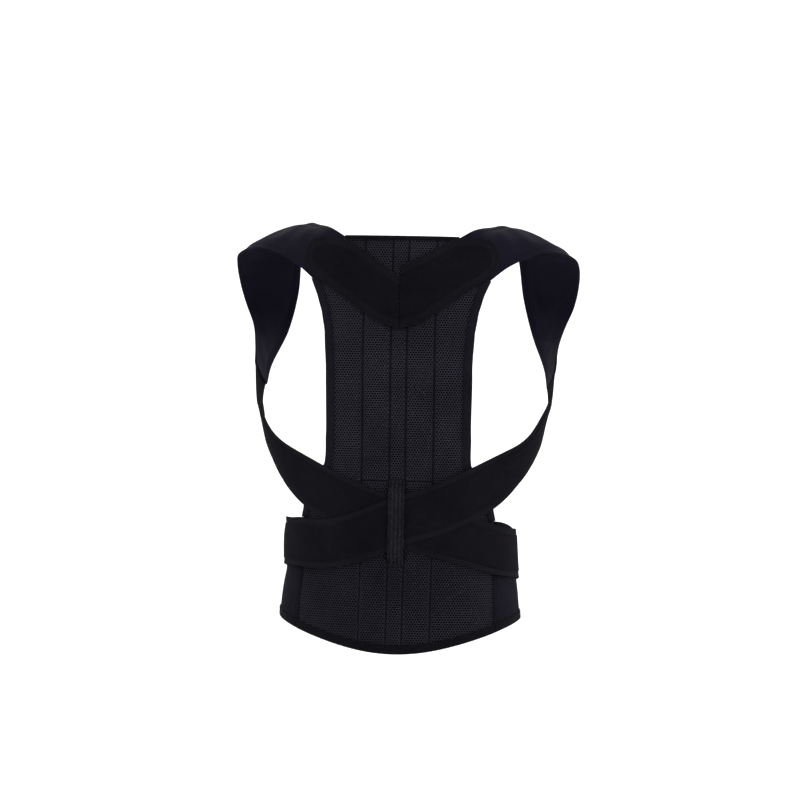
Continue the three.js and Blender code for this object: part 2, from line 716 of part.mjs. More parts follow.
function centreLoop() {
  const foot = PANEL_WALL + CHANNEL_PUFF + SEAM_GAP;
  const bend = LOOP_BEND.map(({ run, lift }) => ({ down: LOOP_SEAM + run * LOOP_RAMP, lift }));
  const end = [{ down: 0, lift: 0 }, ...bend];
  const top = end.map(({ down, lift }) => ({ z: LOOP_TOP - down, lift }));
  const bottom = end.map(({ down, lift }) => ({ z: LOOP_BOTTOM + down, lift })).reverse();
  const middle = shares(LOOP_STEPS).slice(1, -1).map((share) => ({
    z: lerp(top[top.length - 1].z, bottom[0].z, share),
    lift: 1,
  }));
  const under = (station) => lerp(foot, LOOP_OVER, station.lift);
  const across = shares(LOOP_COLUMNS).map((share) => lerp(-LOOP_WIDTH / 2, LOOP_WIDTH / 2, share));
  const outer = (station, girth) => layerPoint(girth, station.z, under(station) + LOOP_WALL);
  const inner = (station, girth) => layerPoint(girth, station.z, under(station));
  return wall([...top, ...middle, ...bottom], across, outer, inner);
}

// V bands

// Place on a V band at shares of the way out and of the way up across it
function bandPlace(share, across, notchDrop) {
  const rows = BAND_EDGES.map((row, i) => ({ ...row, place: i / (BAND_EDGES.length - 1) }));
  const value = (key) => tableValue(rows, 'place', key, share);
  const girth = BAND_REACH * lerp(value('lowOut'), value('highOut'), across);
  const notchRise = 1 - notchDrop / BAND_POINT_DROP - BAND_EDGES[0].highUp;
  const high = value('highUp') + notchRise * (1 - share) ** 2;
  const height = lerp(value('lowUp'), high, across);
  return { girth, z: lerp(PANEL_TOP - BAND_POINT_DROP, PANEL_TOP, height) };
}

function vBand({ side, notchDrop }) {
  const mirror = mirrored(side);
  const layer = (offset) => (share, across) => {
    const { girth, z } = bandPlace(share, across, notchDrop);
    return mirror(layerPoint(girth, z, BAND_UNDER + offset));
  };
  return wall(shares(BAND_STEPS), shares(BAND_COLUMNS), layer(BAND_WALL), layer(0));
}

// Padded shoulder straps

// Row of a shoulder strap: points across its middle surface from the neck side to the arm side
function shoulderRows(half) {
  const across = shares(SHOULDER_COLUMNS);
  const corner = new THREE.Vector2(PANEL_SHOULDER_HALF, cornerHeight);
  const neck = new THREE.Vector2(PANEL_TOP_HALF, PANEL_TOP);
  const slant = new THREE.Vector2(SHOULDER_CORNER_DROP, PANEL_SHOULDER_HALF - PANEL_TOP_HALF);
  const outwards = slant.normalize();
  const rootRow = (runNeck, runArm) => across.map((share) => {
    const run = lerp(runNeck, runArm, share);
    const place = neck.clone().lerp(corner, share).addScaledVector(outwards, run);
    const sag = ROOT_SAG * (run / ROOT_RUN) * (1 - share);
    return layerPoint(place.x, place.y - sag, PANEL_WALL / 2);
  });
  const free = SHOULDER.map((row, i) => {
    const middle = (r) => new THREE.Vector3(
      r.out * SHOULDER_REACH, r.fore * TORSO_BACK_DEPTH, r.up * SHOULDER_RISE,
    );
    const before = middle(SHOULDER[Math.max(0, i - 1)]);
    const after = middle(SHOULDER[Math.min(SHOULDER.length - 1, i + 1)]);
    const along = after.sub(before).normalize();
    const direction = new THREE.Vector3(...row.across).normalize();
    const out = new THREE.Vector3().crossVectors(direction, along).normalize();
    return across.map((share) => {
      const sideways = (share - 0.5) * row.width * SHOULDER_WIDTH;
      const crown = 4 * share * (1 - share) * row.bulge * SHOULDER_WIDTH;
      return middle(row).addScaledVector(direction, sideways).addScaledVector(out, crown);
    });
  });
  const path = strapPath(half);
  const underarmRow = (run) => across.map((share) => {
    const from = path(0);
    const along = path(PATH_REACH).sub(from).normalize();
    const sideways = new THREE.Vector2(-along.y, along.x);
    const place = from.clone().addScaledVector(along, -run);
    place.addScaledVector(sideways, (1 - 2 * share) * strapHalf(from.x));
    return layerPoint(place.x, place.y, LOWER_STRAP + STRAP_WALL / 2);
  });
  return [
    rootRow(SEAM_GAP, SEAM_GAP),
    rootRow(ROOT_RUN * ROOT_NECK_SHARE, ROOT_RUN),
    ...free,
    underarmRow(UNDERARM_RUN),
    underarmRow(SEAM_GAP),
  ];
}

function shoulderStrap(half) {
  const rows = shoulderRows(half);
  const lines = rows[0].map((_, j) => {
    const points = rows.map((row) => row[j]);
    return new THREE.CatmullRomCurve3(points, false, 'centripetal');
  });
  const grid = shares(SHOULDER_STEPS).map((share) => lines.map((line) => line.getPoint(share)));
  const normalAt = (i, j) => {
    const clampRow = (k) => grid[THREE.MathUtils.clamp(k, 0, grid.length - 1)];
    const clampColumn = (k) => THREE.MathUtils.clamp(k, 0, lines.length - 1);
    const along = clampRow(i + 1)[j].clone().sub(clampRow(i - 1)[j]);
    const across = grid[i][clampColumn(j + 1)].clone().sub(grid[i][clampColumn(j - 1)]);
    const normal = across.cross(along).normalize();
    normal.z *= smooth(Math.min(i, grid.length - 1 - i) / LEVEL_STEPS);
    return normal.normalize();
  };
  const halfWall = (j) => {
    const padding = Math.sqrt(Math.sin((j / (lines.length - 1)) * Math.PI));
    return lerp(SHOULDER_EDGE_WALL, SHOULDER_WALL, padding) / 2;
  };
  const mirror = mirrored(half.side);
  const face = (sign) => (i, j) => {
    const point = grid[i][j].clone();
    return mirror(point.addScaledVector(normalAt(i, j), sign * halfWall(j)));
  };
  const steps = (list) => list.map((_, k) => k);
  return wall(steps(grid), steps(lines), face(1), face(-1));
}

const MESH_CLOTH = { color: '#2b2a30', roughness: 0.9 };
const WING_CLOTH = { color: '#2b2a30', roughness: 0.85 };
const NAVY_CLOTH = { color: '#25242f', roughness: 0.6 };
const LOOP_CLOTH = { color: '#17161b', roughness: 0.95 };
const BINDING_CLOTH = { color: '#1b1a21', roughness: 0.8 };

// The brace's two halves. The right wing closes over the left one, and the right strap is on top
const HALVES = [
  {
    side: 1, word: 'right', overWing: true, upper: true,
    end: RIGHT_STRAP_END, rise: RIGHT_STRAP_RISE, bow: RIGHT_STRAP_BOW,
    notchDrop: RIGHT_NOTCH_DROP, beltTop: RIGHT_BELT_TOP,
  },
  {
    side: -1, word: 'left', overWing: false, upper: false,
    end: LEFT_STRAP_END, rise: LEFT_STRAP_RISE, bow: LEFT_STRAP_BOW,
    notchDrop: LEFT_NOTCH_DROP, beltTop: LEFT_BELT_TOP,
  },
];

const brace = new THREE.Group();
brace.add(piece('back_panel', backPanel(), MESH_CLOTH));
brace.add(piece('top_binding', topBinding(), BINDING_CLOTH));
brace.add(piece('hem_binding', hemBinding(), BINDING_CLOTH));
brace.add(piece('centre_loop', centreLoop(), MESH_CLOTH));
for (const half of HALVES) {
  brace.add(piece(`side_binding_${half.word}`, sideBinding(half.side), NAVY_CLOTH));
  brace.add(piece(`belt_wing_${half.word}`, beltWing(half), WING_CLOTH));
  brace.add(piece(`wing_binding_${half.word}`, wingBinding(half), BINDING_CLOTH));
  brace.add(piece(`v_band_${half.word}`, vBand(half), LOOP_CLOTH));
  brace.add(piece(`shoulder_strap_${half.word}`, shoulderStrap(half), NAVY_CLOTH));
  brace.add(piece(`cross_strap_${half.word}`, crossStrap(half), LOOP_CLOTH));
  brace.add(piece(`hook_tab_${half.word}`, hookTab(half), LOOP_CLOTH));
}

export default brace;
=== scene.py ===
"""A thoracolumbar brace in its worn form, seen from behind.

Metres, +Z up, +Y towards the wearer's front, +X to the wearer's right. Cloth lies in layers on one
torso surface: a place on it is a girth, measured round from the middle of the back, and a height.
"""
import math
from typing import NamedTuple

import bpy
import numpy as np
from mathutils import Matrix, Vector


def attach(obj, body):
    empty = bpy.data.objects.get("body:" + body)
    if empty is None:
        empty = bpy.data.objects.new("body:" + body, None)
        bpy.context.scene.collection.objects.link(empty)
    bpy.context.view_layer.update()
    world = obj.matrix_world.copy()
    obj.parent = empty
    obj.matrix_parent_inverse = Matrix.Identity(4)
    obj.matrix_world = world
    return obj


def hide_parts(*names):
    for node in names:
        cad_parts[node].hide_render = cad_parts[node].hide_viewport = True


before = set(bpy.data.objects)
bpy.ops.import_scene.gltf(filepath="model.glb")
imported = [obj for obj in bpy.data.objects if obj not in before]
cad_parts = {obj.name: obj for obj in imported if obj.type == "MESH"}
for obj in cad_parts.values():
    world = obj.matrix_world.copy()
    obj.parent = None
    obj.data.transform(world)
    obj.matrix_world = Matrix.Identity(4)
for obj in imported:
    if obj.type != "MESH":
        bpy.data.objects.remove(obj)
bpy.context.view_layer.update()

# Torso hollow that the brace is worn on
TORSO_HALF_BREADTH = 0.165
TORSO_BACK_DEPTH = 0.111
TORSO_FRONT_DEPTH = 0.106
TORSO_SQUARENESS = 2.3

# Heights from the waist
PANEL_TOP = 0.3495
RIGHT_BELT_TOP = 0.030
LEFT_BELT_TOP = 0.036
HEM_SIDE = -0.068
HEM_BACK = -0.1025
HEM_FRONT = -0.058
BELT_TOP_FRONT = 0.030

# Back panel, as half widths along the cloth
PANEL_WALL = 0.003
PANEL_TOP_HALF = 0.063
PANEL_SHOULDER_HALF = 0.098
PANEL_WAIST_HALF = 0.078
PANEL_BELT_HALF = 0.113
SHOULDER_CORNER_DROP = 0.0465
CENTRE_STRIP = 0.0172
CHANNEL_WIDTH = 0.030
CHANNEL_PUFF = 0.0012
SEAM_DEPTH = 0.0010
SEAM_HALF = 0.0014
CROSS_SEAM = 0.084
PANEL_SEAM_INSET = 0.003

# Padding of the panel: puffs of the middle strip and of the side fields in shares of a channel's, and
# the powers that make the channels and the fields square
STRIP_PUFF = 0.45
FIELD_PUFF = 0.55
CHANNEL_POWER = 3
FIELD_POWER = 0.7

# Puckers, which vary a seam's depth, and crumples beside it: pitches up the cloth, and waves round it
PUCKER_SHARE = 0.25
PUCKER_PITCH = 0.017
PUCKER_ROUND = 40
PUCKER_WANDER = 3
PUCKER_WANDER_UP = 60
CRUMPLE_SIZE = 0.00012
CRUMPLE_PITCH = 0.011
CRUMPLE_ROUND = 90
CRUMPLE_REACH = 0.006

# Belt wings
WING_WALL = 0.0026
WING_OVERLAP = 0.034
WING_END_RADIUS = 0.022
LIFT_START = 0.095
LIFT_RUN = 0.045
WING_SEAM_INSET = 0.004

# Folded bindings
BINDING_WALL = 0.0008
SIDE_BINDING_WIDTH = 0.0095
HEM_BINDING_WIDTH = 0.009
TOP_BINDING_WIDTH = 0.004
END_INSET = 0.0015
BINDING_STITCH_INSET = 0.0016
# One leg of a folded tape: shares of its width, and how far it swells there in shares of its wall
BINDING_LEGS = np.array([0, 0.25, 0.5, 0.72, 0.86, 0.95, 1.0])
BINDING_SWELL = np.array([0.0, 0.12, 0.16, 0.12, -0.12, -0.06, 0.0])
FOLD_GAP_SHARE = 0.6
FOLD_STEPS = 9

# Shoulder straps
SHOULDER_WIDTH = 0.078
SHOULDER_WALL = 0.0044
SHOULDER_EDGE_WALL = 0.002
SHOULDER_PUFF = 0.0014
SHOULDER_BORDER = 0.0075
SHOULDER_REACH = 0.148
SHOULDER_RISE = 0.351
ROOT_RUN = 0.028
ROOT_NECK_SHARE = 0.6
ROOT_SAG = 0.0035
UNDERARM_RUN = 0.026
# The pad rises beside its border and fades at its ends. Its border has a groove, its face soft creases
PAD_RAMP = 0.011
PAD_FADE = 0.02
PAD_GROOVE = 0.0007
PAD_GROOVE_HALF = 0.0009
PAD_CREASE = 0.0005
PAD_CREASE_PITCH = 0.031
PAD_CREASE_SLANT = 9

# V bands
BAND_WALL = 0.0016
BAND_REACH = 0.106
RIGHT_NOTCH_DROP = 0.032
LEFT_NOTCH_DROP = 0.0445
BAND_POINT_DROP = 0.101
BAND_TAPE = 0.0082
BAND_TAPE_SHARE = 0.8
BAND_SEAM_INSET = 0.0024
# The crease that a band's lower edge presses into the panel lies this far below it, and a painted shadow line
# darkens the mesh along it
BAND_CREASE_DROP = 0.0013

# Elastic cross straps
STRAP_WIDTH = 0.053
STRAP_WALL = 0.0018
STRAP_TAPE = 0.0062
STRAP_UNDERARM = 0.200
STRAP_CROSSING = 0.0395
RIGHT_STRAP_END = 0.012
LEFT_STRAP_END = 0.004
RIGHT_STRAP_BOW = -0.0035
LEFT_STRAP_BOW = 0.009
RIGHT_STRAP_RISE = 0.003
LEFT_STRAP_RISE = 0.001
# Narrowing of a strap towards the underarm, by girth from the middle of the back
STRAP_ARM_WIDTH = 0.040
TAPER_START = 0.075
TAPER_RUN = 0.095
STRAP_FRONT_GAP = 0.054
CROSSING_HALF = 0.096
CROSSING_FADE = 0.040
# Wall at the woven edge tape as a share of the full one, its step up to the pile, and a groove there
STRAP_TAPE_SHARE = 0.62
TAPE_RAMP = 0.0012
TAPE_GROOVE_SHARE = 0.18
TAPE_GROOVE_HALF = 0.0006
STRAP_RIM_LIFT = 0.3

# Centre loop and hook tabs
LOOP_WIDTH = 0.0165
LOOP_WALL = 0.0014
LOOP_TOP = 0.085
LOOP_BOTTOM = -0.008
LOOP_SEAM = 0.005
LOOP_SEAM_INSET = 0.0015
LOOP_SEAM_BACK = 0.0008
LOOP_SEAM_STEP = 0.001
LOOP_RAMP = 0.0056
# The loop's feet stand on this share of the channels' puff
LOOP_FOOT_SHARE = 0.6
TAB_LENGTH = 0.062
TAB_WALL = 0.001
TAB_MARGIN = 0.004
TAB_SEAM_INSET = 0.0025

# Clearances: between pieces sewn edge to edge, and between cloth layers
SEAM_GAP = 0.00035
LAYER_GAP = 0.0008
# How far a sewn edge of a wing or a shoulder strap is tucked into the next piece's thin edge
SEAM_TUCK = 0.0013

# Offsets of the layers from the torso, each worked out from the one below
BINDING_TOP = PANEL_WALL + SEAM_GAP + BINDING_WALL
LOWER_STRAP = BINDING_TOP + LAYER_GAP
UPPER_STRAP = LOWER_STRAP + STRAP_WALL + LAYER_GAP
LOOP_OVER = UPPER_STRAP + STRAP_WALL + LAYER_GAP
BAND_UNDER = BINDING_TOP + LAYER_GAP
WING_LIFT = WING_WALL + 2 * (SEAM_GAP + BINDING_WALL) + LAYER_GAP

# Threads of the seams, and one stitch: shares of its half length, with shares of its half width there
STITCH_LENGTH = 0.0027
STITCH_PITCH = 0.0036
STITCH_HALF_WIDTH = 0.00032
STITCH_RISE = 0.00018
STITCH_SUNK = 0.0002
STITCH_PLACES = (-1.0, -0.8, 0.0, 0.8, 1.0)
STITCH_RADII = (0.15, 0.75, 1.0, 0.75, 0.15)
STITCH_SIDES = 6
SEAM_STEP = 0.004
SEAM_OUT = 0.001

# Grids of the cloths: the step between their lines, and the rim where an edge is rounded. They are
# metres, or shares of the whole way for belt_up, wing_up, the bands and shoulder_across
GRID = {
    "panel_out": (0.0024, 0.0),
    "panel_up": (0.0026, 0.001),
    "belt_up": (0.022, 0.01),
    "tape": (0.003, 0.0),
    "wing_out": (0.003, 0.0),
    "wing_up": (0.028, 0.012),
    "strap_across": (0.0028, STRAP_WALL / 2),
    "tab_across": (0.004, TAB_WALL / 2),
    "loop_up": (0.0016, LOOP_WALL / 2),
    "loop_across": (0.0014, LOOP_WALL / 2),
    "band_out": (0.018, 0.012),
    "band_across": (0.035, 0.018),
    "shoulder_along": (0.0028, 0.001),
    "shoulder_seam": (0.004, 0.001),
    "shoulder_across": (0.04, SHOULDER_EDGE_WALL / 2 / SHOULDER_WIDTH),
}
# Columns of a side field, in shares of the way from the channel's seam to the panel's edge
FIELD_COLUMNS = np.concatenate([[0.02, 0.04], np.linspace(0.07, 1, 22)])
# Steps of a strap's route, of its even path, and of a shoulder strap's lines before they are evened
CURVE_STEPS = 30
PATH_STEPS = 400
LINE_STEPS = 400
WING_END_STEPS = 22
OUTLINE_STEPS = 80
BAND_EDGE_STEPS = 60

# The camera, in the photograph's 800 pixel frame
CAMERA_DISTANCE = 3.0
CAMERA_HEIGHT = 0.172
CAMERA_AZIMUTH = math.radians(3.7)
CAMERA_ROLL = math.radians(1.2)
CAMERA_LENS = 120.5
CAMERA_SENSOR = 36.0
PIXEL = 0.00112
AXIS_PIXEL = 404.2
CENTRE_PIXEL = 400.0


def columns(names, rows):
    """A table's columns by name, from its rows."""
    return dict(zip(names, np.array(rows, float).T))


# Torso sections: height as a share of the panel's top, half breadth and depths as shares of theirs
TORSO = columns(
    ("height", "breadth", "back", "front"),
    (
        (-0.30, 0.812, 0.928, 0.953),
        (-0.19, 0.796, 0.892, 0.943),
        (-0.06, 0.758, 0.829, 0.934),
        (0.09, 0.745, 0.802, 0.934),
        (0.23, 0.800, 0.820, 0.943),
        (0.345, 0.885, 0.865, 0.962),
        (0.475, 0.958, 0.928, 0.990),
        (0.63, 0.994, 0.991, 1.000),
        (0.83, 1.000, 1.000, 0.906),
        (0.95, 1.000, 0.901, 0.755),
        (1.05, 1.000, 0.739, 0.566),
    ),
)

# Panel sides between the belt and the shoulder corner: height as a share of the corner's, flare from
# the waist width (0) out to the belt's (1), or to the shoulder's (wide)
PANEL_SIDE = columns(
    ("height", "flare", "wide"),
    (
        (0.132, 1.00, 0.00),
        (0.190, 0.85, 0.00),
        (0.250, 0.42, 0.00),
        (0.330, 0.07, 0.00),
        (0.450, 0.00, 0.02),
        (0.680, 0.00, 0.04),
        (0.805, 0.00, 0.15),
        (0.875, 0.00, 0.31),
        (0.935, 0.00, 0.57),
        (1.000, 0.00, 1.00),
    ),
)

# Free stretch of a shoulder strap, from behind the shoulder to its front: the middle in shares of the
# reach, the torso's back depth and the rise, the width in shares of its own, the direction across
# from the neck side to the arm side, and the bulge as a share of the width
SHOULDER = columns(
    ("out", "fore", "up", "width", "across_x", "across_y", "across_z", "bulge"),
    (
        (0.845, -0.420, 0.998, 0.90, 0.84, -0.22, -0.36, 0.030),
        (1.000, -0.090, 0.997, 1.10, 0.89, -0.20, -0.41, 0.045),
        (1.055, 0.200, 0.965, 1.06, 0.89, -0.18, -0.41, 0.045),
        (1.070, 0.440, 0.895, 0.96, 0.90, -0.20, -0.38, 0.040),
        (1.070, 0.600, 0.812, 0.81, 0.90, -0.36, -0.18, 0.035),
        (1.075, 0.590, 0.722, 0.66, 0.72, -0.66, 0.16, 0.030),
    ),
)

# Route of an elastic strap on the torso: girth in quarters (0 at the middle of the back, 1 at the
# side, 2 at the middle of the front) and height, in shares of the heights that its columns name.
# rise and bow are the shares of the strap's own rise and bow that are added to the height. Where
# front is 1, the girth stops short of its place by the front gap
STRAP_ROUTE = columns(
    ("quarter", "underarm", "crossing", "end", "rise", "bow", "front"),
    (
        (1.085, 1.000, 0.00, 0.00, 0.0, 0.0, 0.0),
        (0.990, 0.830, 0.00, 0.00, 0.2, 0.0, 0.0),
        (0.890, 0.655, 0.00, 0.00, 0.5, 0.0, 0.0),
        (0.790, 0.450, 0.50, 0.00, 0.8, 0.0, 0.0),
        (0.635, 0.268, 0.90, 0.00, 1.0, 0.0, 0.0),
        (0.444, 0.148, 1.00, 0.00, 0.45, 0.0, 0.0),
        (0.242, 0.070, 1.00, 0.00, 0.0, 0.0, 0.0),
        (0.000, 0.000, 1.00, 0.00, 0.0, 0.0, 0.0),
        (-0.225, 0.000, 0.50, 0.50, 0.0, 0.8, 0.0),
        (-0.430, 0.000, 0.20, 0.80, 0.0, 1.0, 0.0),
        (-0.700, 0.000, 0.06, 1.00, 0.0, 0.2, 0.0),
        (-1.000, 0.000, 0.00, 1.00, 0.0, 0.0, 0.0),
        (-1.350, 0.000, -0.25, 1.00, 0.0, 0.0, 0.0),
        (-2.000, 0.000, -0.50, 1.00, 0.0, 0.0, 1.0),
    ),
)

# Edges of a V band from the middle outwards: girth as a share of its reach, height from the band's
# lower point (0) to the panel's top (1)
BAND_EDGES = columns(
    ("low_out", "low_up", "high_out", "high_up"),
    (
        (0.003, 0.000, 0.003, 0.568),
        (0.190, 0.058, 0.150, 0.673),
        (0.390, 0.195, 0.320, 0.805),
        (0.600, 0.366, 0.480, 0.922),
        (0.800, 0.503, 0.640, 0.980),
        (0.935, 0.600, 0.790, 0.992),
        (0.985, 0.688, 0.900, 0.978),
        (1.000, 0.766, 0.970, 0.898),
    ),
)


class Half(NamedTuple):
    """One half of the brace: its side (1 the right one), and what differs between the two."""

    side: int
    word: str
    over_wing: bool
    upper_strap: bool
    end: float
    rise: float
    bow: float
    notch_drop: float
    belt_top: float


# The right wing closes over the left one, and the right strap is on top
RIGHT = Half(
    side=1, word="right", over_wing=True, upper_strap=True, end=RIGHT_STRAP_END,
    rise=RIGHT_STRAP_RISE, bow=RIGHT_STRAP_BOW, notch_drop=RIGHT_NOTCH_DROP, belt_top=RIGHT_BELT_TOP,
)
LEFT = Half(
    side=-1, word="left", over_wing=False, upper_strap=False, end=LEFT_STRAP_END,
    rise=LEFT_STRAP_RISE, bow=LEFT_STRAP_BOW, notch_drop=LEFT_NOTCH_DROP, belt_top=LEFT_BELT_TOP,
)

# The torso's skin is worked out once on a grid of levels and girths, between which it is blended
SKIN_LOW = -0.125
SKIN_HIGH = 0.390
SKIN_LEVEL = 0.002
SKIN_GIRTH = 0.001
SKIN_REACH = 0.560
SECTION_STEPS = 320
NORMAL_REACH = 0.003
# A place stays just inside the grid's last step
LAST_STEP = 1.001


def smooth(value):
    """A smooth step from 0 to 1."""
    value = np.clip(value, 0, 1)
    return value * value * (3 - 2 * value)


def blend_to(start, end, share):
    """The place between two values, or two points, at a share of the way."""
    return start + (end - start) * share


def bell(distance, half):
    """1 at a distance of 0, falling away on both sides over a half width."""
    return np.exp(-((distance / half) ** 2))


def unit(vectors):
    """The vectors' directions, each of length 1."""
    return vectors / np.linalg.norm(vectors, axis=-1, keepdims=True)


def left_of(ways):
    """Ways on the flat cloth, turned a quarter to the left."""
    return np.stack([-ways[..., 1], ways[..., 0]], -1)


def through_ways(points):
    """At each point, the way from the point before it to the one after it."""
    return np.concatenate([points[1:], points[-1:]]) - np.concatenate([points[:1], points[:-1]])


def way_along(points):
    """Each point's distance from the first one, along the line through them."""
    return np.concatenate([[0], np.cumsum(np.linalg.norm(np.diff(points, axis=0), axis=1))])


def at_distances(wanted, along, points):
    """Points at wanted distances along a line."""
    return np.stack([np.interp(wanted, along, values) for values in points.T], -1)


def hermite(start, end, lead, tail, t):
    """A smooth curve from start to end, leaving along lead and arriving along tail."""
    rise = end - start
    return start + lead * t + (3 * rise - 2 * lead - tail) * t**2 + (lead + tail - 2 * rise) * t**3


def grid_places(out, up):
    """Pairs of places, two ways, at all points of a grid."""
    return np.stack(np.broadcast_arrays(out, up), -1)


def table_value(table, place, key, value):
    """Smooth value of a table's column at a place in another column."""
    at, of = table[place], table[key]
    last = len(at) - 1
    i = np.clip(np.searchsorted(at, value) - 1, 0, last - 1)
    span = at[i + 1] - at[i]

    def slope(k):
        before, after = np.maximum(k - 1, 0), np.minimum(k + 1, last)
        return (of[after] - of[before]) / (at[after] - at[before])

    t = np.clip((value - at[i]) / span, 0, 1)
    rise = of[i + 1] - of[i]
    bend = (t - 1) * (slope(i) * span - rise) - t * (slope(i + 1) * span - rise)
    return of[i] + rise * t - t * (1 - t) * bend


def half_section(z):
    """Half of the torso's rounded-square section at a height, from the middle of the back to the front."""
    height = z / PANEL_TOP
    breadth = TORSO_HALF_BREADTH * table_value(TORSO, "height", "breadth", height)
    back = TORSO_BACK_DEPTH * table_value(TORSO, "height", "back", height)
    front = TORSO_FRONT_DEPTH * table_value(TORSO, "height", "front", height)
    angle = np.linspace(0, math.pi, SECTION_STEPS + 1)
    power = 2 / TORSO_SQUARENESS
    side, rear = np.sin(angle), np.cos(angle)
    x = breadth * np.abs(side) ** power
    y = -np.where(rear > 0, back, front) * np.sign(rear) * np.abs(rear) ** power
    girth = np.concatenate([[0], np.cumsum(np.hypot(np.diff(x), np.diff(y)))])
    return x, y, girth


def skin_tables():
    """The skin's places on the grid, with each level's quarter and half girth."""
    levels = np.arange(SKIN_LOW, SKIN_HIGH, SKIN_LEVEL)
    girths = np.arange(0, SKIN_REACH, SKIN_GIRTH)
    places, quarters, halves = [], [], []
    for z in levels:
        x, y, girth = half_section(z)
        half = girth[-1]
        past = girths > half
        back = np.where(past, 2 * half - girths, girths)
        side = np.where(past, -1, 1)
        places.append(np.stack([side * np.interp(back, girth, x), np.interp(back, girth, y)], -1))
        quarters.append(girth[SECTION_STEPS // 2])
        halves.append(half)
    return levels, np.array(places), np.array(quarters), np.array(halves)


LEVELS, SKIN, QUARTERS, HALVES = skin_tables()


def quarter_girth(z):
    return np.interp(z, LEVELS, QUARTERS)


def half_girth(z):
    return np.interp(z, LEVELS, HALVES)


def girth_at(quarter, z):
    """Girth of a place given in quarters, with the back and front quarters each of their own length."""
    size = np.abs(quarter)
    back, front = quarter_girth(z), half_girth(z) - quarter_girth(z)
    return np.sign(quarter) * np.where(size <= 1, size * back, back + (size - 1) * front)


def skin(girth, z):
    """Places on the torso's skin, in plan."""
    row = np.clip((z - SKIN_LOW) / SKIN_LEVEL, 0, len(LEVELS) - LAST_STEP)
    column = np.clip(np.abs(girth) / SKIN_GIRTH, 0, SKIN.shape[1] - LAST_STEP)
    i, j = row.astype(int), column.astype(int)
    s, t = (row - i)[..., None], (column - j)[..., None]
    low = blend_to(SKIN[i, j], SKIN[i, j + 1], t)
    high = blend_to(SKIN[i + 1, j], SKIN[i + 1, j + 1], t)
    place = blend_to(low, high, s)
    place[..., 0] *= np.where(girth < 0, -1, 1)
    return place


# Slow waves in the worn cloth, which every layer follows: height, and waves round and up
WAVES = columns(
    ("size", "round", "up", "start"),
    (
        (0.00055, 19, 37, 0.4),
        (0.00045, -31, 52, 2.1),
        (0.00035, 58, 24, 4.4),
        (0.00030, 12, 95, 1.2),
    ),
)
WAVES_FADE = 0.06
WAVES_REACH = 0.30
# Crease on each side of the loop, where it pinches the cloth
PINCH_GIRTH = 0.0102
PINCH_WIDTH = 0.0015
PINCH_DEPTH = 0.0016
PINCH_FADE = 0.012


def relief(girth, z):
    """How far the worn cloth's slow waves stand out, fading away towards the front."""
    waves = sum(
        size * np.sin(around * girth + up * z + start)
        for size, around, up, start in zip(*WAVES.values())
    )
    across = bell(np.abs(girth) - PINCH_GIRTH, PINCH_WIDTH)
    along = np.minimum(LOOP_TOP - z, z - LOOP_BOTTOM) / PINCH_FADE
    return waves * smooth((WAVES_REACH - np.abs(girth)) / WAVES_FADE) - PINCH_DEPTH * across * smooth(along)


def layer(girth, z, offset):
    """Points of a cloth layer: the skin's places moved outwards, level, by the layer's offset."""
    girth, z, offset = (np.array(a, float) for a in np.broadcast_arrays(girth, z, offset))
    along = unit(skin(girth + NORMAL_REACH, z) - skin(girth - NORMAL_REACH, z))
    place = skin(girth, z)
    out = offset + relief(girth, z)
    return np.stack([place[..., 0] + along[..., 1] * out, place[..., 1] - along[..., 0] * out, z], -1)


RIM_STEPS = 4
RIM_SHARE = 0.15


def spread(length, grid, extra=()):
    """Distances along a length by a grid's step, closer in its two rims, with extra places."""
    step, rim = GRID[grid]
    inner = np.linspace(rim, length - rim, max(2, round((length - 2 * rim) / step) + 1))
    ends = rim * (1 - np.cos(np.linspace(0, math.pi / 2, RIM_STEPS)[:-1])) if rim else np.array([])
    return np.unique(np.round(np.concatenate([inner, ends, length - ends, np.array(extra)]), 6))


def rounded(distance, radius):
    """Share of a wall's half thickness at a distance from its edge, so that the edge is round."""
    inside = 1 - np.clip(distance / radius, 0, 1)
    return blend_to(RIM_SHARE, 1, np.sqrt(1 - inside**2))


def half_wall(wall, edge):
    """Half of a wall with a round edge, at a distance from that edge."""
    return wall / 2 * rounded(edge, wall / 2)


def grid_faces(rows, width):
    """Quads of a closed wall between two grids of rows by width points, the second after the first."""
    face = rows * width
    at = np.arange(face).reshape(rows, width)
    a, b, c, d = at[:-1, :-1], at[:-1, 1:], at[1:, 1:], at[1:, :-1]
    outer = np.stack([a, b, c, d], -1).reshape(-1, 4)
    inner = np.stack([a, d, c, b], -1).reshape(-1, 4) + face
    rim = np.concatenate([at[0, :-1], at[:-1, -1], at[-1, :0:-1], at[:0:-1, 0]])
    after = np.roll(rim, -1)
    edge = np.stack([after, rim, rim + face, after + face], -1)
    return np.concatenate([outer, inner, edge])


def facing_out(points, faces):
    """The faces, turned if they face inwards."""
    a, b, c, d = (points[faces[:, k]] for k in range(4))
    volume = (a * np.cross(b, c)).sum() + (a * np.cross(c, d)).sum()
    return faces if volume > 0 else faces[:, ::-1]


def tube_faces(stations, count):
    """Quads of a closed tube of rings, each with a count of points, with its two ends filled."""
    at = np.arange(stations * count).reshape(stations, count)
    after = np.roll(at, -1, 1)
    side = np.stack([at[:-1], after[:-1], after[1:], at[1:]], -1).reshape(-1, 4)
    k = np.arange(count // 2 - 1)
    cap = np.stack([k, k + 1, count - 2 - k, count - 1 - k], -1)
    return np.concatenate([side, cap[:, ::-1], cap + (stations - 1) * count])


def new_object(name, data):
    """A new object, linked into the scene."""
    made = bpy.data.objects.new(name, data)
    bpy.context.scene.collection.objects.link(made)
    return made


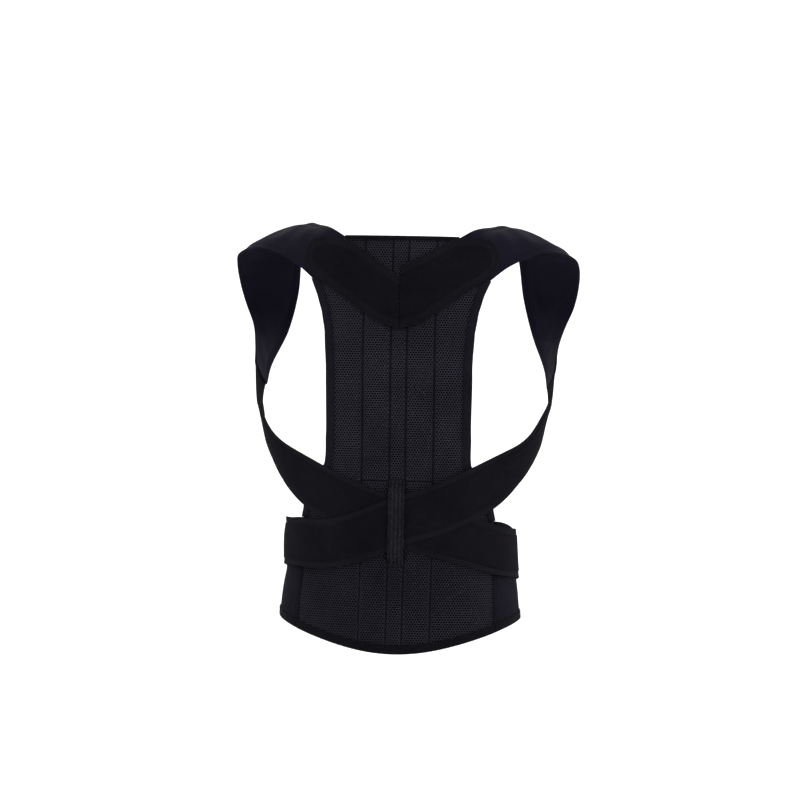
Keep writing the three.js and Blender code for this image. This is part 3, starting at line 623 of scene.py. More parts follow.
def new_piece(name, points, faces, uv, slot, edge=None, cloth=None):
    """A smooth mesh piece that rides on the brace, with its cloth's places in metres as its UVs.

    Its material is the slot's own cloth, or the cloth that is named.
    """
    mesh = bpy.data.meshes.new(name)
    mesh.from_pydata(points.tolist(), [], facing_out(points, faces).tolist())
    loops = np.empty(len(mesh.loops), int)
    mesh.loops.foreach_get("vertex_index", loops)
    mesh.uv_layers.new(name="cloth").data.foreach_set("uv", uv.reshape(-1, 2)[loops].ravel())
    if edge is not None:
        mesh.attributes.new("edge", "FLOAT", "POINT").data.foreach_set("value", edge)
    mesh.shade_smooth()
    mesh.materials.append(CLOTHS[cloth or slot])
    piece = new_object(name, mesh)
    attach(piece, "root")
    return piece


def wall_piece(node, ending, outer, inner, uv, slot, edge=None):
    """A closed piece of cloth between its outer and its inner grid of points, in a node's place."""
    rows, width = outer.shape[:2]
    points = np.concatenate([outer.reshape(-1, 3), inner.reshape(-1, 3)])
    both = np.concatenate([uv.reshape(-1, 2)] * 2)
    marks = None if edge is None else np.concatenate([np.broadcast_to(edge, (rows, width)).ravel()] * 2)
    piece = new_piece(f"{node}_{ending}", points, grid_faces(rows, width), both, slot, marks)
    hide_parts(node)
    return piece


def layer_piece(node, ending, girth, z, inner, outer, slot, edge=None, uv=None):
    """A closed piece of cloth between an inner and an outer offset from the torso, in a node's place."""
    uv = grid_places(girth, z) if uv is None else uv
    return wall_piece(node, ending, layer(girth, z, outer), layer(girth, z, inner), uv, slot, edge)


# Stitches


def stitch_points():
    """Points of one stitch: a short round thread along X, half sunk in the cloth."""
    turn = np.linspace(0, 2 * math.pi, STITCH_SIDES, endpoint=False)
    ring = np.stack([np.cos(turn), np.sin(turn)], -1) * STITCH_HALF_WIDTH
    return np.array([
        (place * STITCH_LENGTH / 2, radius * across, radius * up)
        for place, radius in zip(STITCH_PLACES, STITCH_RADII)
        for across, up in ring
    ])


def seam_places(points, outwards):
    """Evenly spaced places along a seam's line, with the directions along it and out of the cloth."""
    along = way_along(points)
    count = max(2, round(along[-1] / STITCH_PITCH))
    wanted = (np.arange(count) + 0.5) * along[-1] / count
    reach = STITCH_LENGTH / 4
    ahead = at_distances(wanted + reach, along, points) - at_distances(wanted - reach, along, points)
    return at_distances(wanted, along, points), unit(ahead), at_distances(wanted, along, outwards)


def stitched(name, seams):
    """One piece that holds all the stitches of some seams, each a line of points with its way out."""
    template = stitch_points()
    made = []
    for points, outwards in seams:
        place, along, out = seam_places(points, outwards)
        out = unit(out - along * (out * along).sum(1, keepdims=True))
        axes = np.stack([along, np.cross(out, along), out], 1)
        made.append(((place + out * STITCH_RISE)[:, None] + template @ axes).reshape(-1, 3))
    points = np.concatenate(made)
    starts = np.arange(0, len(points), len(template))
    faces = (tube_faces(len(STITCH_PLACES), STITCH_SIDES) + starts[:, None, None]).reshape(-1, 4)
    return new_piece(name, points, faces, np.zeros((len(points), 2)), "binding_tape", cloth="stitching")


def layer_seam(girth, z, offset):
    """A seam's line on a cloth layer, with its way out."""
    points = layer(girth, z, offset)
    return points, layer(girth, z, offset + SEAM_OUT) - points


# Materials


class Look(NamedTuple):
    """A cloth's roughness and specular level, its pattern's pitches round and up, and its relief."""

    roughness: float
    specular: float
    round_pitch: float
    up_pitch: float
    bump: float


LOOKS = {
    "spacer_mesh": Look(0.85, 0.020, 0.0029, None, 0.0006),
    "navy_satin": Look(0.60, 0.012, 0.0011, 0.0011, 0.00012),
    "side_tape": Look(0.80, 0.020, 0.0012, 0.0021, 0.0003),
    "wing_cloth": Look(0.75, 0.012, 0.0016, 0.0013, 0.00025),
    "loop_cloth": Look(0.95, 0.020, 0.0016, None, 0.0004),
    "binding_tape": Look(0.80, 0.020, 0.0011, 0.0019, 0.0003),
    "webbing": Look(0.85, 0.030, 0.0026, 0.0030, 0.0004),
    "hook_tape": Look(0.60, 0.100, 0.0014, 0.0014, 0.0005),
    "stitching": Look(0.70, 0.020, None, None, 0.0001),
}

# Dark and light tone of each cloth, and of the woven tape along the loop cloth's edge
TONES = {
    "spacer_mesh": ((0.0008, 0.0008, 0.0010), (0.0460, 0.0432, 0.0590)),
    "navy_satin": ((0.0074, 0.0064, 0.0132), (0.0112, 0.0098, 0.0196)),
    "side_tape": ((0.0082, 0.0076, 0.0118), (0.0148, 0.0136, 0.0210)),
    "wing_cloth": ((0.0070, 0.0064, 0.0100), (0.0098, 0.0089, 0.0152)),
    "loop_cloth": ((0.0057, 0.0053, 0.0074), (0.0075, 0.0069, 0.0096)),
    "edge_tape": ((0.0076, 0.0071, 0.0095), (0.0128, 0.0121, 0.0157)),
    "binding_tape": ((0.0048, 0.0046, 0.0062), (0.0082, 0.0079, 0.0105)),
    "webbing": ((0.0012, 0.0011, 0.0016), (0.0330, 0.0310, 0.0390)),
    "hook_tape": ((0.0057, 0.0053, 0.0074), (0.0075, 0.0069, 0.0096)),
    "stitching": ((0.0070, 0.0066, 0.0088), (0.0115, 0.0108, 0.0142)),
}
# Every cloth's tone varies by this share, in soft patches
TONE_VARIATION = 0.16
TONE_PATCH = 0.05
# Noise lies mostly between these two values
NOISE_LOW = 0.3
NOISE_HIGH = 0.7

# The mesh: the sum of its three waves in a hole and on a thread, and its fuzz
HOLE_SUM = 1.58
THREAD_SUM = 0.92
MESH_FUZZ = 0.0009
MESH_FUZZ_LOW = 0.75
# Painted shade: the mesh's colour is darker at the waist than higher up, between two heights
MESH_LOW = -0.01
MESH_HIGH = 0.15
MESH_PAINTED_SHADE_TONE = 0.74
# A seam of the mesh is dark, and the mesh beside it is welded flat. The same dark colour is also painted
# along the crease under the V bands as a painted shadow line, with the flat weld beside it
MESH_SEAM_AND_SHADOW_HALF = 0.0009
MESH_WELD_HALF = 0.0024
MESH_SEAM_AND_SHADOW = (0.0060, 0.0057, 0.0075, 1.0)
MESH_WELD = (0.0175, 0.0165, 0.0222, 1.0)

SATIN_SLUB = 0.0025
PILE_SIZE = 0.0011
PILE_CLUMP = 0.006
PILE_LOW = 0.75
PILE_HIGH = 1.3
EDGE_RIB_HEIGHT = 0.5
BINDING_THREAD_LOW = 0.6
WEBBING_RIB = 0.0042
WEBBING_RIB_SHARE = 0.45
WEBBING_SPECK = 0.0013
WEBBING_SPECK_LOW = 0.1
WEBBING_SPECK_HIGH = 1.35
THREAD_TWIST = 0.0006


def new_material(name, **settings):
    """A principled material with some inputs of its shader set, and that shader."""
    material = bpy.data.materials.new(name)
    material.use_nodes = True
    shader = material.node_tree.nodes["Principled BSDF"]
    for key, value in settings.items():
        shader.inputs[key.replace("_", " ")].default_value = value
    return material, shader


class Cloth:
    """A cloth material: a principled shader, whose colour and bump come from patterns on the cloth."""

    def __init__(self, name):
        self.name = name
        self.look = LOOKS[name]
        self.material, self.shader = new_material(
            name, Roughness=self.look.roughness, Specular_IOR_Level=self.look.specular,
        )
        self.tree = self.material.node_tree
        self.place = self.node("ShaderNodeTexCoord").outputs["Object"]
        flat = self.node("ShaderNodeUVMap", uv_map="cloth").outputs[0]
        self.u, self.v, _ = self.node("ShaderNodeSeparateXYZ", Vector=flat).outputs

    def feed(self, socket, value):
        """Gives an input a value or a link."""
        if isinstance(value, bpy.types.NodeSocket):
            self.tree.links.new(value, socket)
        else:
            socket.default_value = value

    def node(self, kind, **settings):
        """A new node, whose settings name its properties, or its inputs with a value or a link."""
        node = self.tree.nodes.new(kind)
        for key, value in settings.items():
            if hasattr(node, key) and key not in node.inputs:
                setattr(node, key, value)
            else:
                self.feed(node.inputs[key.replace("_", " ")], value)
        return node

    def math(self, operation, *values):
        """The result of a math node on values and links."""
        node = self.node("ShaderNodeMath", operation=operation)
        for socket, value in zip(node.inputs, values):
            self.feed(socket, value)
        return node.outputs[0]

    def range(self, value, low, high, start=0.0, end=1.0):
        """A value's place between low and high, as one between start and end."""
        ends = {"From_Min": low, "From_Max": high, "To_Min": start, "To_Max": end}
        return self.node("ShaderNodeMapRange", Value=value, **ends).outputs[0]

    def mix(self, share, first, second):
        """A colour between two colours or links."""
        node = self.node("ShaderNodeMix", data_type="RGBA")
        for number, value in ((0, share), (6, first), (7, second)):
            self.feed(node.inputs[number], value)
        return node.outputs[2]

    def choose(self, share, first, second):
        """A number between two numbers or links."""
        rest = self.math("MULTIPLY", self.math("SUBTRACT", 1.0, share), first)
        return self.math("ADD", rest, self.math("MULTIPLY", share, second))

    def wave(self, round_pitch, up_pitch):
        """A cosine wave with the given pitches along the cloth's two ways, from 0 to 1."""
        terms = [
            self.math("MULTIPLY", way, 2 * math.pi / pitch)
            for way, pitch in ((self.u, round_pitch), (self.v, up_pitch)) if pitch
        ]
        angle = terms[0] if len(terms) == 1 else self.math("ADD", *terms)
        return self.math("MULTIPLY_ADD", self.math("COSINE", angle), 0.5, 0.5)

    def twill(self):
        """Slanting threads at the cloth's pitches."""
        return self.wave(self.look.round_pitch, self.look.up_pitch)

    def ribs(self):
        """Threads along the cloth, side by side at its round pitch."""
        return self.wave(self.look.round_pitch, None)

    def rows(self):
        """Threads round the cloth, one above the other at its up pitch."""
        return self.wave(None, self.look.up_pitch)

    def honeycomb(self):
        """Threads round the holes of a spacer mesh: near 1 on a thread and near 0 in a hole."""
        pitch = self.look.round_pitch
        row = pitch * math.sqrt(3) / 2
        waves = [self.wave(None, row), self.wave(pitch, 2 * row), self.wave(pitch, -2 * row)]
        total = self.math("ADD", self.math("ADD", waves[0], waves[1]), waves[2])
        return self.range(total, HOLE_SUM, THREAD_SUM)

    def noise(self, size, detail=2.0):
        """Noise whose lumps have about the given size, from 0 to 1."""
        return self.node("ShaderNodeTexNoise", Vector=self.place, Scale=1 / size, Detail=detail).outputs[0]

    def noise_between(self, size, low, high, detail=2.0):
        """Noise that is spread out between two values."""
        return self.range(self.noise(size, detail), NOISE_LOW, NOISE_HIGH, low, high)

    def edge_mask(self, width, soft=0.0004):
        """1 nearer to the cloth's edge than the width, and 0 further in."""
        edge = self.node("ShaderNodeAttribute", attribute_name="edge").outputs["Fac"]
        return self.range(edge, width + soft, width - soft)

    def tones(self, share, name=None):
        """The colour between the dark and the light tone of the cloth, or of the one that is named."""
        dark, light = TONES[name or self.name]
        return self.mix(share, (*dark, 1.0), (*light, 1.0))

    def finish(self, colour, height):
        """Joins the pattern's colour, with wide soft variation, and its height to the shader."""
        tone = self.noise_between(TONE_PATCH, 1 - TONE_VARIATION, 1 + TONE_VARIATION, 3.0)
        varied = self.node("ShaderNodeVectorMath", operation="SCALE", Scale=tone)
        self.feed(varied.inputs[0], colour)
        bump = self.node("ShaderNodeBump", Strength=1.0, Distance=self.look.bump, Height=height)
        self.feed(self.shader.inputs["Base Color"], varied.outputs[0])
        self.feed(self.shader.inputs["Normal"], bump.outputs[0])
        return self.material


def spacer_mesh():
    """Honeycomb mesh, dark along its seams, with a painted shadow line along the crease under the V bands and
    painted shade towards the waist.
    """
    cloth = Cloth("spacer_mesh")
    threads = cloth.honeycomb()
    worn = cloth.math("MULTIPLY", threads, cloth.noise_between(MESH_FUZZ, MESH_FUZZ_LOW, 1.0))
    # Painted shade: the mesh's colour darkens from MESH_HIGH down to MESH_LOW
    height = cloth.range(cloth.v, MESH_LOW, MESH_HIGH, MESH_PAINTED_SHADE_TONE, 1.0)
    field = cloth.tones(cloth.math("MULTIPLY", worn, height))
    welded = cloth.mix(cloth.edge_mask(MESH_WELD_HALF), field, MESH_WELD)
    # Dark seams, and a painted shadow line along the crease under the V bands
    return cloth.finish(cloth.mix(cloth.edge_mask(MESH_SEAM_AND_SHADOW_HALF), welded, MESH_SEAM_AND_SHADOW), threads)


def navy_satin():
    """Fine twill with slubs."""
    cloth = Cloth("navy_satin")
    twill = cloth.twill()
    return cloth.finish(cloth.tones(cloth.math("MULTIPLY", twill, cloth.noise(SATIN_SLUB, 3.0))), twill)


def woven(name):
    """A plain cloth of ribs and rows."""
    cloth = Cloth(name)
    weave = cloth.math("MULTIPLY", cloth.ribs(), cloth.rows())
    return cloth.finish(cloth.tones(weave), weave)


def side_tape():
    """The panel's side tape: a plain navy weave."""
    return woven("side_tape")


def wing_cloth():
    """The wings' knit."""
    return woven("wing_cloth")


def hook_tape():
    """Rows of hooks."""
    return woven("hook_tape")


def loop_cloth():
    """Matt brushed pile, with a ribbed woven tape along the cloth's edge."""
    cloth = Cloth("loop_cloth")
    pile = cloth.noise(PILE_SIZE, 4.0)
    clumps = cloth.noise(PILE_CLUMP, 3.0)
    rib = cloth.ribs()
    tape = cloth.edge_mask(STRAP_TAPE)
    pile_colour = cloth.tones(cloth.range(cloth.math("ADD", pile, clumps), PILE_LOW, PILE_HIGH))
    tape_colour = cloth.tones(cloth.math("MULTIPLY", rib, pile), "edge_tape")
    height = cloth.choose(tape, pile, cloth.math("MULTIPLY", rib, EDGE_RIB_HEIGHT))
    return cloth.finish(cloth.mix(tape, pile_colour, tape_colour), height)


def binding_tape():
    """Ribbed tape with faint rows."""
    cloth = Cloth("binding_tape")
    weave = cloth.math("MULTIPLY", cloth.ribs(), cloth.range(cloth.rows(), 0, 1, BINDING_THREAD_LOW, 1.0))
    return cloth.finish(cloth.tones(weave), weave)


def webbing():
    """Ribbed webbing with a twill of short floats."""
    cloth = Cloth("webbing")
    rib = cloth.math("MULTIPLY", cloth.wave(WEBBING_RIB, None), WEBBING_RIB_SHARE)
    weave = cloth.math("ADD", rib, cloth.math("MULTIPLY", cloth.twill(), 1 - WEBBING_RIB_SHARE))
    speck = cloth.noise_between(WEBBING_SPECK, WEBBING_SPECK_LOW, WEBBING_SPECK_HIGH)
    return cloth.finish(cloth.tones(cloth.math("MULTIPLY", weave, speck)), weave)


def stitching():
    """Twisted thread."""
    cloth = Cloth("stitching")
    twist = cloth.noise(THREAD_TWIST)
    return cloth.finish(cloth.tones(twist), twist)


CLOTHS = {
    make.__name__: make()
    for make in (
        spacer_mesh, navy_satin, side_tape, wing_cloth, loop_cloth, binding_tape, webbing, hook_tape,
        stitching,
    )
}


# Edges of the V bands, which lie on the panel


def band_place(share, across, notch_drop):
    """Girth and height on a V band, at shares of the way out and of the way up across it."""
    rows = dict(BAND_EDGES, place=np.linspace(0, 1, len(BAND_EDGES["low_up"])))
    value = {key: table_value(rows, "place", key, share) for key in BAND_EDGES}
    girth = BAND_REACH * blend_to(value["low_out"], value["high_out"], across)
    notch_rise = 1 - notch_drop / BAND_POINT_DROP - BAND_EDGES["high_up"][0]
    high = value["high_up"] + notch_rise * (1 - share) ** 2
    height = blend_to(value["low_up"], high, across)
    return girth, blend_to(PANEL_TOP - BAND_POINT_DROP, PANEL_TOP, height)


def band_edge(notch_drop):
    """Points along the band's free edge, from its lower point round its outer end to the notch."""
    share = np.linspace(0, 1, BAND_EDGE_STEPS)
    low = np.stack(band_place(share, 0, notch_drop), -1)
    end = np.stack(band_place(1, share, notch_drop), -1)
    high = np.stack(band_place(share, 1, notch_drop), -1)[::-1]
    return np.concatenate([low, end[1:], high[1:]])


def nearest(places, line):
    """Distance from each place to the nearest point of a line."""
    gaps = np.linalg.norm(places[..., None, :] - line, axis=-1)
    return gaps.min(-1)


def crease_distance(girth, z):
    """Distance from a place on the panel to the crease along a V band's lower edge."""
    share = np.linspace(0, 1, BAND_EDGE_STEPS)
    places = np.stack([np.abs(girth), z], -1)
    out, up = band_place(share, 0, 0)
    return nearest(places, np.stack([out, up - BAND_CREASE_DROP], -1))


# Back panel

CORNER_HEIGHT = PANEL_TOP - SHOULDER_CORNER_DROP
SEAM_HEIGHT = PANEL_SIDE["height"][0] * CORNER_HEIGHT
CHANNEL_OUT = CENTRE_STRIP / 2 + CHANNEL_WIDTH


def hem_height(girth):
    """Hem's height: lowest at the middle of the back, level with the side's at the belt's side."""
    share = np.abs(girth) / quarter_girth(HEM_SIDE)
    back = blend_to(HEM_BACK, HEM_SIDE, np.sin(np.minimum(1, share) * math.pi / 2) ** 2)
    return np.where(share > 1, blend_to(HEM_SIDE, HEM_FRONT, smooth(share - 1)), back)


def panel_half(z):
    """Panel's half width at a height, along the cloth."""
    height = np.asarray(z) / CORNER_HEIGHT
    flare = table_value(PANEL_SIDE, "height", "flare", height) * (PANEL_BELT_HALF - PANEL_WAIST_HALF)
    wide = table_value(PANEL_SIDE, "height", "wide", height) * (PANEL_SHOULDER_HALF - PANEL_WAIST_HALF)
    slant = (z - CORNER_HEIGHT) / SHOULDER_CORNER_DROP
    top = blend_to(PANEL_SHOULDER_HALF, PANEL_TOP_HALF, slant)
    return np.where(z >= CORNER_HEIGHT, top, PANEL_WAIST_HALF + flare + wide)


def beside_seam(at):
    """Places on a seam and close to it on both sides."""
    return [at + k * SEAM_HALF / 2 for k in range(-2, 3)]


def half_columns():
    """Columns of half the panel: girth of its seam, and share from there to the panel's edge."""
    near = beside_seam(CENTRE_STRIP / 2) + beside_seam(CHANNEL_OUT)
    inner = spread(CHANNEL_OUT, "panel_out", [girth for girth in near if girth < CHANNEL_OUT])
    seam = np.concatenate([inner, np.full(len(FIELD_COLUMNS), CHANNEL_OUT)])
    return seam, np.concatenate([np.zeros(len(inner)), FIELD_COLUMNS])


def seam_distance(girth, z):
    """Distance from a place on the panel to its nearest seam, or to the crease under the V bands."""
    at = np.abs(girth)
    across = np.where(at < CHANNEL_OUT, np.abs(z - CROSS_SEAM), PANEL_TOP)
    seams = np.minimum(np.minimum(np.abs(at - CENTRE_STRIP / 2), np.abs(at - CHANNEL_OUT)), across)
    return np.minimum(seams, crease_distance(girth, z))


def panel_relief(girth, half, z):
    """How far the padded mesh stands out of the panel's wall: stay channels between sunken seams."""
    at = np.abs(girth)
    strip = CENTRE_STRIP / 2
    channel = np.clip((at - strip) / CHANNEL_WIDTH, 0, 1)
    field = np.clip((at - CHANNEL_OUT) / (half - SIDE_BINDING_WIDTH - CHANNEL_OUT), 0, 1)
    strip_puff = STRIP_PUFF * (1 - (at / strip) ** 2)
    channel_puff = 1 - np.abs(2 * channel - 1) ** CHANNEL_POWER
    field_puff = FIELD_PUFF * np.sin(field * math.pi) ** FIELD_POWER
    puff = np.where(at < strip, strip_puff, np.where(at < CHANNEL_OUT, channel_puff, field_puff))
    wander = PUCKER_WANDER * np.sin(z * PUCKER_WANDER_UP)
    pucker = 1 + PUCKER_SHARE * np.sin(z * 2 * math.pi / PUCKER_PITCH + wander + girth * PUCKER_ROUND)
    from_seam = seam_distance(girth, z)
    groove = SEAM_DEPTH * bell(from_seam, SEAM_HALF) * pucker
    crumple = CRUMPLE_SIZE * np.sin(z * 2 * math.pi / CRUMPLE_PITCH + girth * CRUMPLE_ROUND)
    return CHANNEL_PUFF * puff - groove + crumple * np.exp(-from_seam / CRUMPLE_REACH)


def back_panel():
    seam, share = half_columns()
    side = np.concatenate([-np.ones(len(seam) - 1), np.ones(len(seam))])
    seam = np.concatenate([seam[:0:-1], seam])
    share = np.concatenate([share[:0:-1], share])

    def girth_of(z):
        return side * blend_to(seam, panel_half(z), share)

    belt_girth = girth_of(SEAM_HEIGHT)
    rise = spread(1.0, "belt_up")[:-1]
    belt_z = blend_to(hem_height(belt_girth)[None], SEAM_HEIGHT, rise[:, None])
    marked = np.array([CORNER_HEIGHT, *beside_seam(CROSS_SEAM)]) - SEAM_HEIGHT
    upper_z = SEAM_HEIGHT + spread(PANEL_TOP - SEAM_HEIGHT, "panel_up", marked)
    girth = np.concatenate([np.repeat(belt_girth[None], len(rise), 0), [girth_of(z) for z in upper_z]])
    z = np.concatenate([belt_z, np.repeat(upper_z[:, None], len(seam), 1)])
    half = np.where(z < SEAM_HEIGHT, PANEL_BELT_HALF, panel_half(z))
    from_hem = z - hem_height(girth)
    from_end = np.minimum(from_hem - HEM_BINDING_WIDTH, PANEL_TOP - z - TOP_BINDING_WIDTH)
    puff = panel_relief(girth, half, z) * smooth((from_end - END_INSET) / HEM_BINDING_WIDTH)
    wall = half_wall(PANEL_WALL, np.minimum(half - np.abs(girth), np.minimum(from_hem, PANEL_TOP - z)))
    middle = PANEL_WALL / 2
    # The seam distances also place the mesh's dark lines: real dark seams, and a painted shadow line along
    # the crease under the V bands
    return layer_piece(
        "back_panel", "mesh", girth, z, middle - wall, middle + wall + puff,
        "spacer_mesh", seam_distance(girth, z),
    )


def panel_seams():
    """Seams of the panel: the stay channels', the belt wings', and the cross seam above the loop."""
    seams = []
    sunk = PANEL_WALL - SEAM_DEPTH
    for side in (-1, 1):
        for at in (CENTRE_STRIP / 2, CHANNEL_OUT):
            z = np.arange(hem_height(at) + HEM_BINDING_WIDTH, PANEL_TOP - TOP_BINDING_WIDTH, SEAM_STEP)
            seams.append(layer_seam(side * at, z, sunk))
        z = np.arange(hem_height(PANEL_BELT_HALF) + HEM_BINDING_WIDTH, SEAM_HEIGHT - END_INSET, SEAM_STEP)
        seams.append(layer_seam(side * (PANEL_BELT_HALF - PANEL_SEAM_INSET), z, PANEL_WALL))
    seams.append(layer_seam(np.arange(-CHANNEL_OUT, CHANNEL_OUT, SEAM_STEP), CROSS_SEAM, sunk))
    return seams


# Bindings


def u_outline(width, edge_wall):
    """Outline of a folded tape round an edge: places inwards and offsets, and the way round the tape."""
    gap = SEAM_GAP * FOLD_GAP_SHARE
    fold = np.linspace(-math.pi / 2, math.pi / 2, FOLD_STEPS)[1:-1]
    middle = edge_wall / 2
    leg = BINDING_LEGS * width

    def shell(out):
        lead = gap + out
        swell = BINDING_SWELL * BINDING_WALL * (out > 0)
        under = np.stack([leg, -lead - swell], -1)[::-1]
        bend = np.stack([-lead * np.cos(fold), middle + (middle + lead) * np.sin(fold)], -1)
        over = np.stack([leg, edge_wall + lead + swell], -1)
        return np.concatenate([under, bend, over])

    outside, inside = shell(BINDING_WALL), shell(0)
    way = way_along(outside)
    return np.concatenate([outside, inside[::-1]]), np.concatenate([way, way[::-1]])


def binding(node, slot, count, width, edge_wall, place, cloth=None):
    """A folded tape along an edge: place gives a ring's points at each station's number."""
    outline, way = u_outline(width, edge_wall)
    rings = np.stack([place(k, outline[:, 0], outline[:, 1]) for k in range(count)])
    uv = grid_places(way_along(rings.mean(1))[:, None], way)
    faces = tube_faces(*rings.shape[:2])
    piece = new_piece(f"{node}_tape", rings.reshape(-1, 3), faces, uv, slot, cloth=cloth)
    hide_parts(node)
    return piece


def side_binding(half):
    stations = SEAM_HEIGHT + END_INSET + spread(CORNER_HEIGHT - SEAM_HEIGHT - END_INSET - SEAM_GAP, "tape")
    slope = (panel_half(stations + END_INSET) - panel_half(stations - END_INSET)) / (2 * END_INSET)

    def place(k, inwards, offset):
        level = np.where(inwards < 0, inwards * math.hypot(1, slope[k]), inwards)
        return layer(half.side * (panel_half(stations[k]) - level), stations[k], offset)

    node = f"side_binding_{half.word}"
    return binding(node, "navy_satin", len(stations), SIDE_BINDING_WIDTH, PANEL_WALL, place, "side_tape")


def level_binding(node, reach, width, height):
    """A folded tape across the panel, out to a reach on both sides, at heights that a function gives."""
    stations = spread(2 * reach, "tape") - reach

    def place(k, inwards, offset):
        return layer(stations[k], height(stations[k], inwards), offset)

    return binding(node, "binding_tape", len(stations), width, PANEL_WALL, place)


def top_binding():
    def height(girth, inwards):
        return PANEL_TOP - inwards

    return level_binding("top_binding", PANEL_TOP_HALF - SEAM_GAP - BINDING_WALL, TOP_BINDING_WIDTH, height)


def hem_binding():
    def height(girth, inwards):
        return hem_height(girth) + inwards

    return level_binding("hem_binding", PANEL_BELT_HALF, HEM_BINDING_WIDTH, height)


def binding_seams():
    """Seams along the inner edges of the panel's bindings."""
    z = np.arange(SEAM_HEIGHT + END_INSET, CORNER_HEIGHT - END_INSET, SEAM_STEP)
    side = panel_half(z) - SIDE_BINDING_WIDTH + BINDING_STITCH_INSET
    hem = np.arange(-PANEL_BELT_HALF, PANEL_BELT_HALF, SEAM_STEP)
    top = np.arange(-PANEL_TOP_HALF, PANEL_TOP_HALF, SEAM_STEP)
    return [
        layer_seam(-side, z, BINDING_TOP),
        layer_seam(side, z, BINDING_TOP),
        layer_seam(hem, hem_height(hem) + HEM_BINDING_WIDTH - BINDING_STITCH_INSET, BINDING_TOP),
        layer_seam(top, PANEL_TOP - TOP_BINDING_WIDTH + BINDING_STITCH_INSET, BINDING_TOP),
    ]


# Belt wings


def wing_lift(girth, over):
    """How far a wing that closes on top is lifted at a girth, by the wing and bindings below."""
    return WING_LIFT * smooth((girth - (half_girth(0) - LIFT_START)) / LIFT_RUN) if over else 0 * girth


def wing_top(girth, belt_top):
    side = quarter_girth(SEAM_HEIGHT)
    share = (girth - PANEL_BELT_HALF) / (side - PANEL_BELT_HALF)
    to_side = blend_to(SEAM_HEIGHT, belt_top, smooth(share))
    return to_side + (BELT_TOP_FRONT - belt_top) * smooth(girth / side - 1)


WING_STRAIGHT = float(half_girth(0)) + WING_OVERLAP - WING_END_RADIUS
WING_TURN = np.linspace(0, math.pi / 2, 9)[1:]


def belt_wing(half):
    start = PANEL_BELT_HALF - SEAM_TUCK
    straight = start + spread(WING_STRAIGHT - start, "wing_out")
    girth = np.concatenate([straight, WING_STRAIGHT + WING_END_RADIUS * np.sin(WING_TURN)])[:, None]
    trim = np.concatenate([0 * straight, WING_END_RADIUS * (1 - np.cos(WING_TURN))])[:, None]
    edge_girth = np.minimum(girth, WING_STRAIGHT)
    low, high = hem_height(edge_girth) + trim, wing_top(edge_girth, half.belt_top) - trim
    z = blend_to(low, high, spread(1.0, "wing_up"))
    wall = half_wall(WING_WALL, np.minimum(z - low, high - z))
    middle = wing_lift(girth, half.over_wing) + WING_WALL / 2
    return layer_piece(
        f"belt_wing_{half.word}", "cloth", half.side * girth, z, middle - wall, middle + wall, "wing_cloth",
    )


def wing_edge(half):
    """Places along a wing's free edge, with the way inwards: hem, front end and top."""

    def top_height(girth):
        return wing_top(girth, half.belt_top)

    start = PANEL_BELT_HALF + SEAM_GAP
    straight = start + spread(WING_STRAIGHT - start, "tape")
    places, ways = [], []
    for up, height in ((1, hem_height), (-1, top_height)):
        centre = np.array([WING_STRAIGHT, float(height(WING_STRAIGHT)) + up * WING_END_RADIUS])
        inwards = np.stack([-np.sin(WING_TURN), up * np.cos(WING_TURN)], -1)
        flat = np.stack([straight, height(straight)], -1)
        places.append(np.concatenate([flat, centre - inwards * WING_END_RADIUS]))
        ways.append(np.concatenate([np.tile([0.0, up], (len(straight), 1)), inwards]))
    end = blend_to(places[0][-1], places[1][-1], np.linspace(0, 1, WING_END_STEPS)[1:-1, None])
    places = np.concatenate([places[0], end, places[1][::-1]])
    ways = np.concatenate([ways[0], np.tile([-1.0, 0.0], (len(end), 1)), ways[1][::-1]])
    return places, ways


def wing_binding(half):
    places, ways = wing_edge(half)

    def place(k, inwards, offset):
        girth, height = places[k][:, None] + ways[k][:, None] * inwards
        return layer(half.side * girth, height, offset + wing_lift(girth, half.over_wing))

    node = f"wing_binding_{half.word}"
    return binding(node, "binding_tape", len(places), HEM_BINDING_WIDTH, WING_WALL, place)


def wing_seams(half):
    """Seams along a wing's binding and beside the panel."""
    places, ways = wing_edge(half)
    inner = places + ways * (HEM_BINDING_WIDTH - BINDING_STITCH_INSET)
    lift = wing_lift(inner[:, 0], half.over_wing) + WING_WALL + SEAM_GAP + BINDING_WALL
    z = np.arange(hem_height(PANEL_BELT_HALF) + HEM_BINDING_WIDTH, SEAM_HEIGHT - HEM_BINDING_WIDTH, SEAM_STEP)
    girth = half.side * (PANEL_BELT_HALF + WING_SEAM_INSET)
    return [layer_seam(half.side * inner[:, 0], inner[:, 1], lift), layer_seam(girth, z, WING_WALL)]


# Elastic cross straps


def strap_path(half):
    """Places along a strap's middle, evenly spaced: a smooth curve through the route's points."""
    route = STRAP_ROUTE
    z = route["underarm"] * STRAP_UNDERARM + route["crossing"] * STRAP_CROSSING
    z = z + route["end"] * half.end + route["rise"] * half.rise + route["bow"] * half.bow
    points = np.stack([girth_at(route["quarter"], z) + route["front"] * STRAP_FRONT_GAP, z], -1)
    ways = through_ways(points) / 2
    share = np.linspace(0, len(points) - 1, CURVE_STEPS * len(points))
    i = np.minimum(share.astype(int), len(points) - 2)
    curve = hermite(points[i], points[i + 1], ways[i], ways[i + 1], (share - i)[:, None])
    along = way_along(curve)
    return at_distances(np.linspace(0, along[-1], PATH_STEPS + 1), along, curve), along[-1]


def strap_half(girth):
    """Half width of a strap where its middle has a girth."""
    return blend_to(STRAP_WIDTH, STRAP_ARM_WIDTH, smooth((girth - TAPER_START) / TAPER_RUN)) / 2


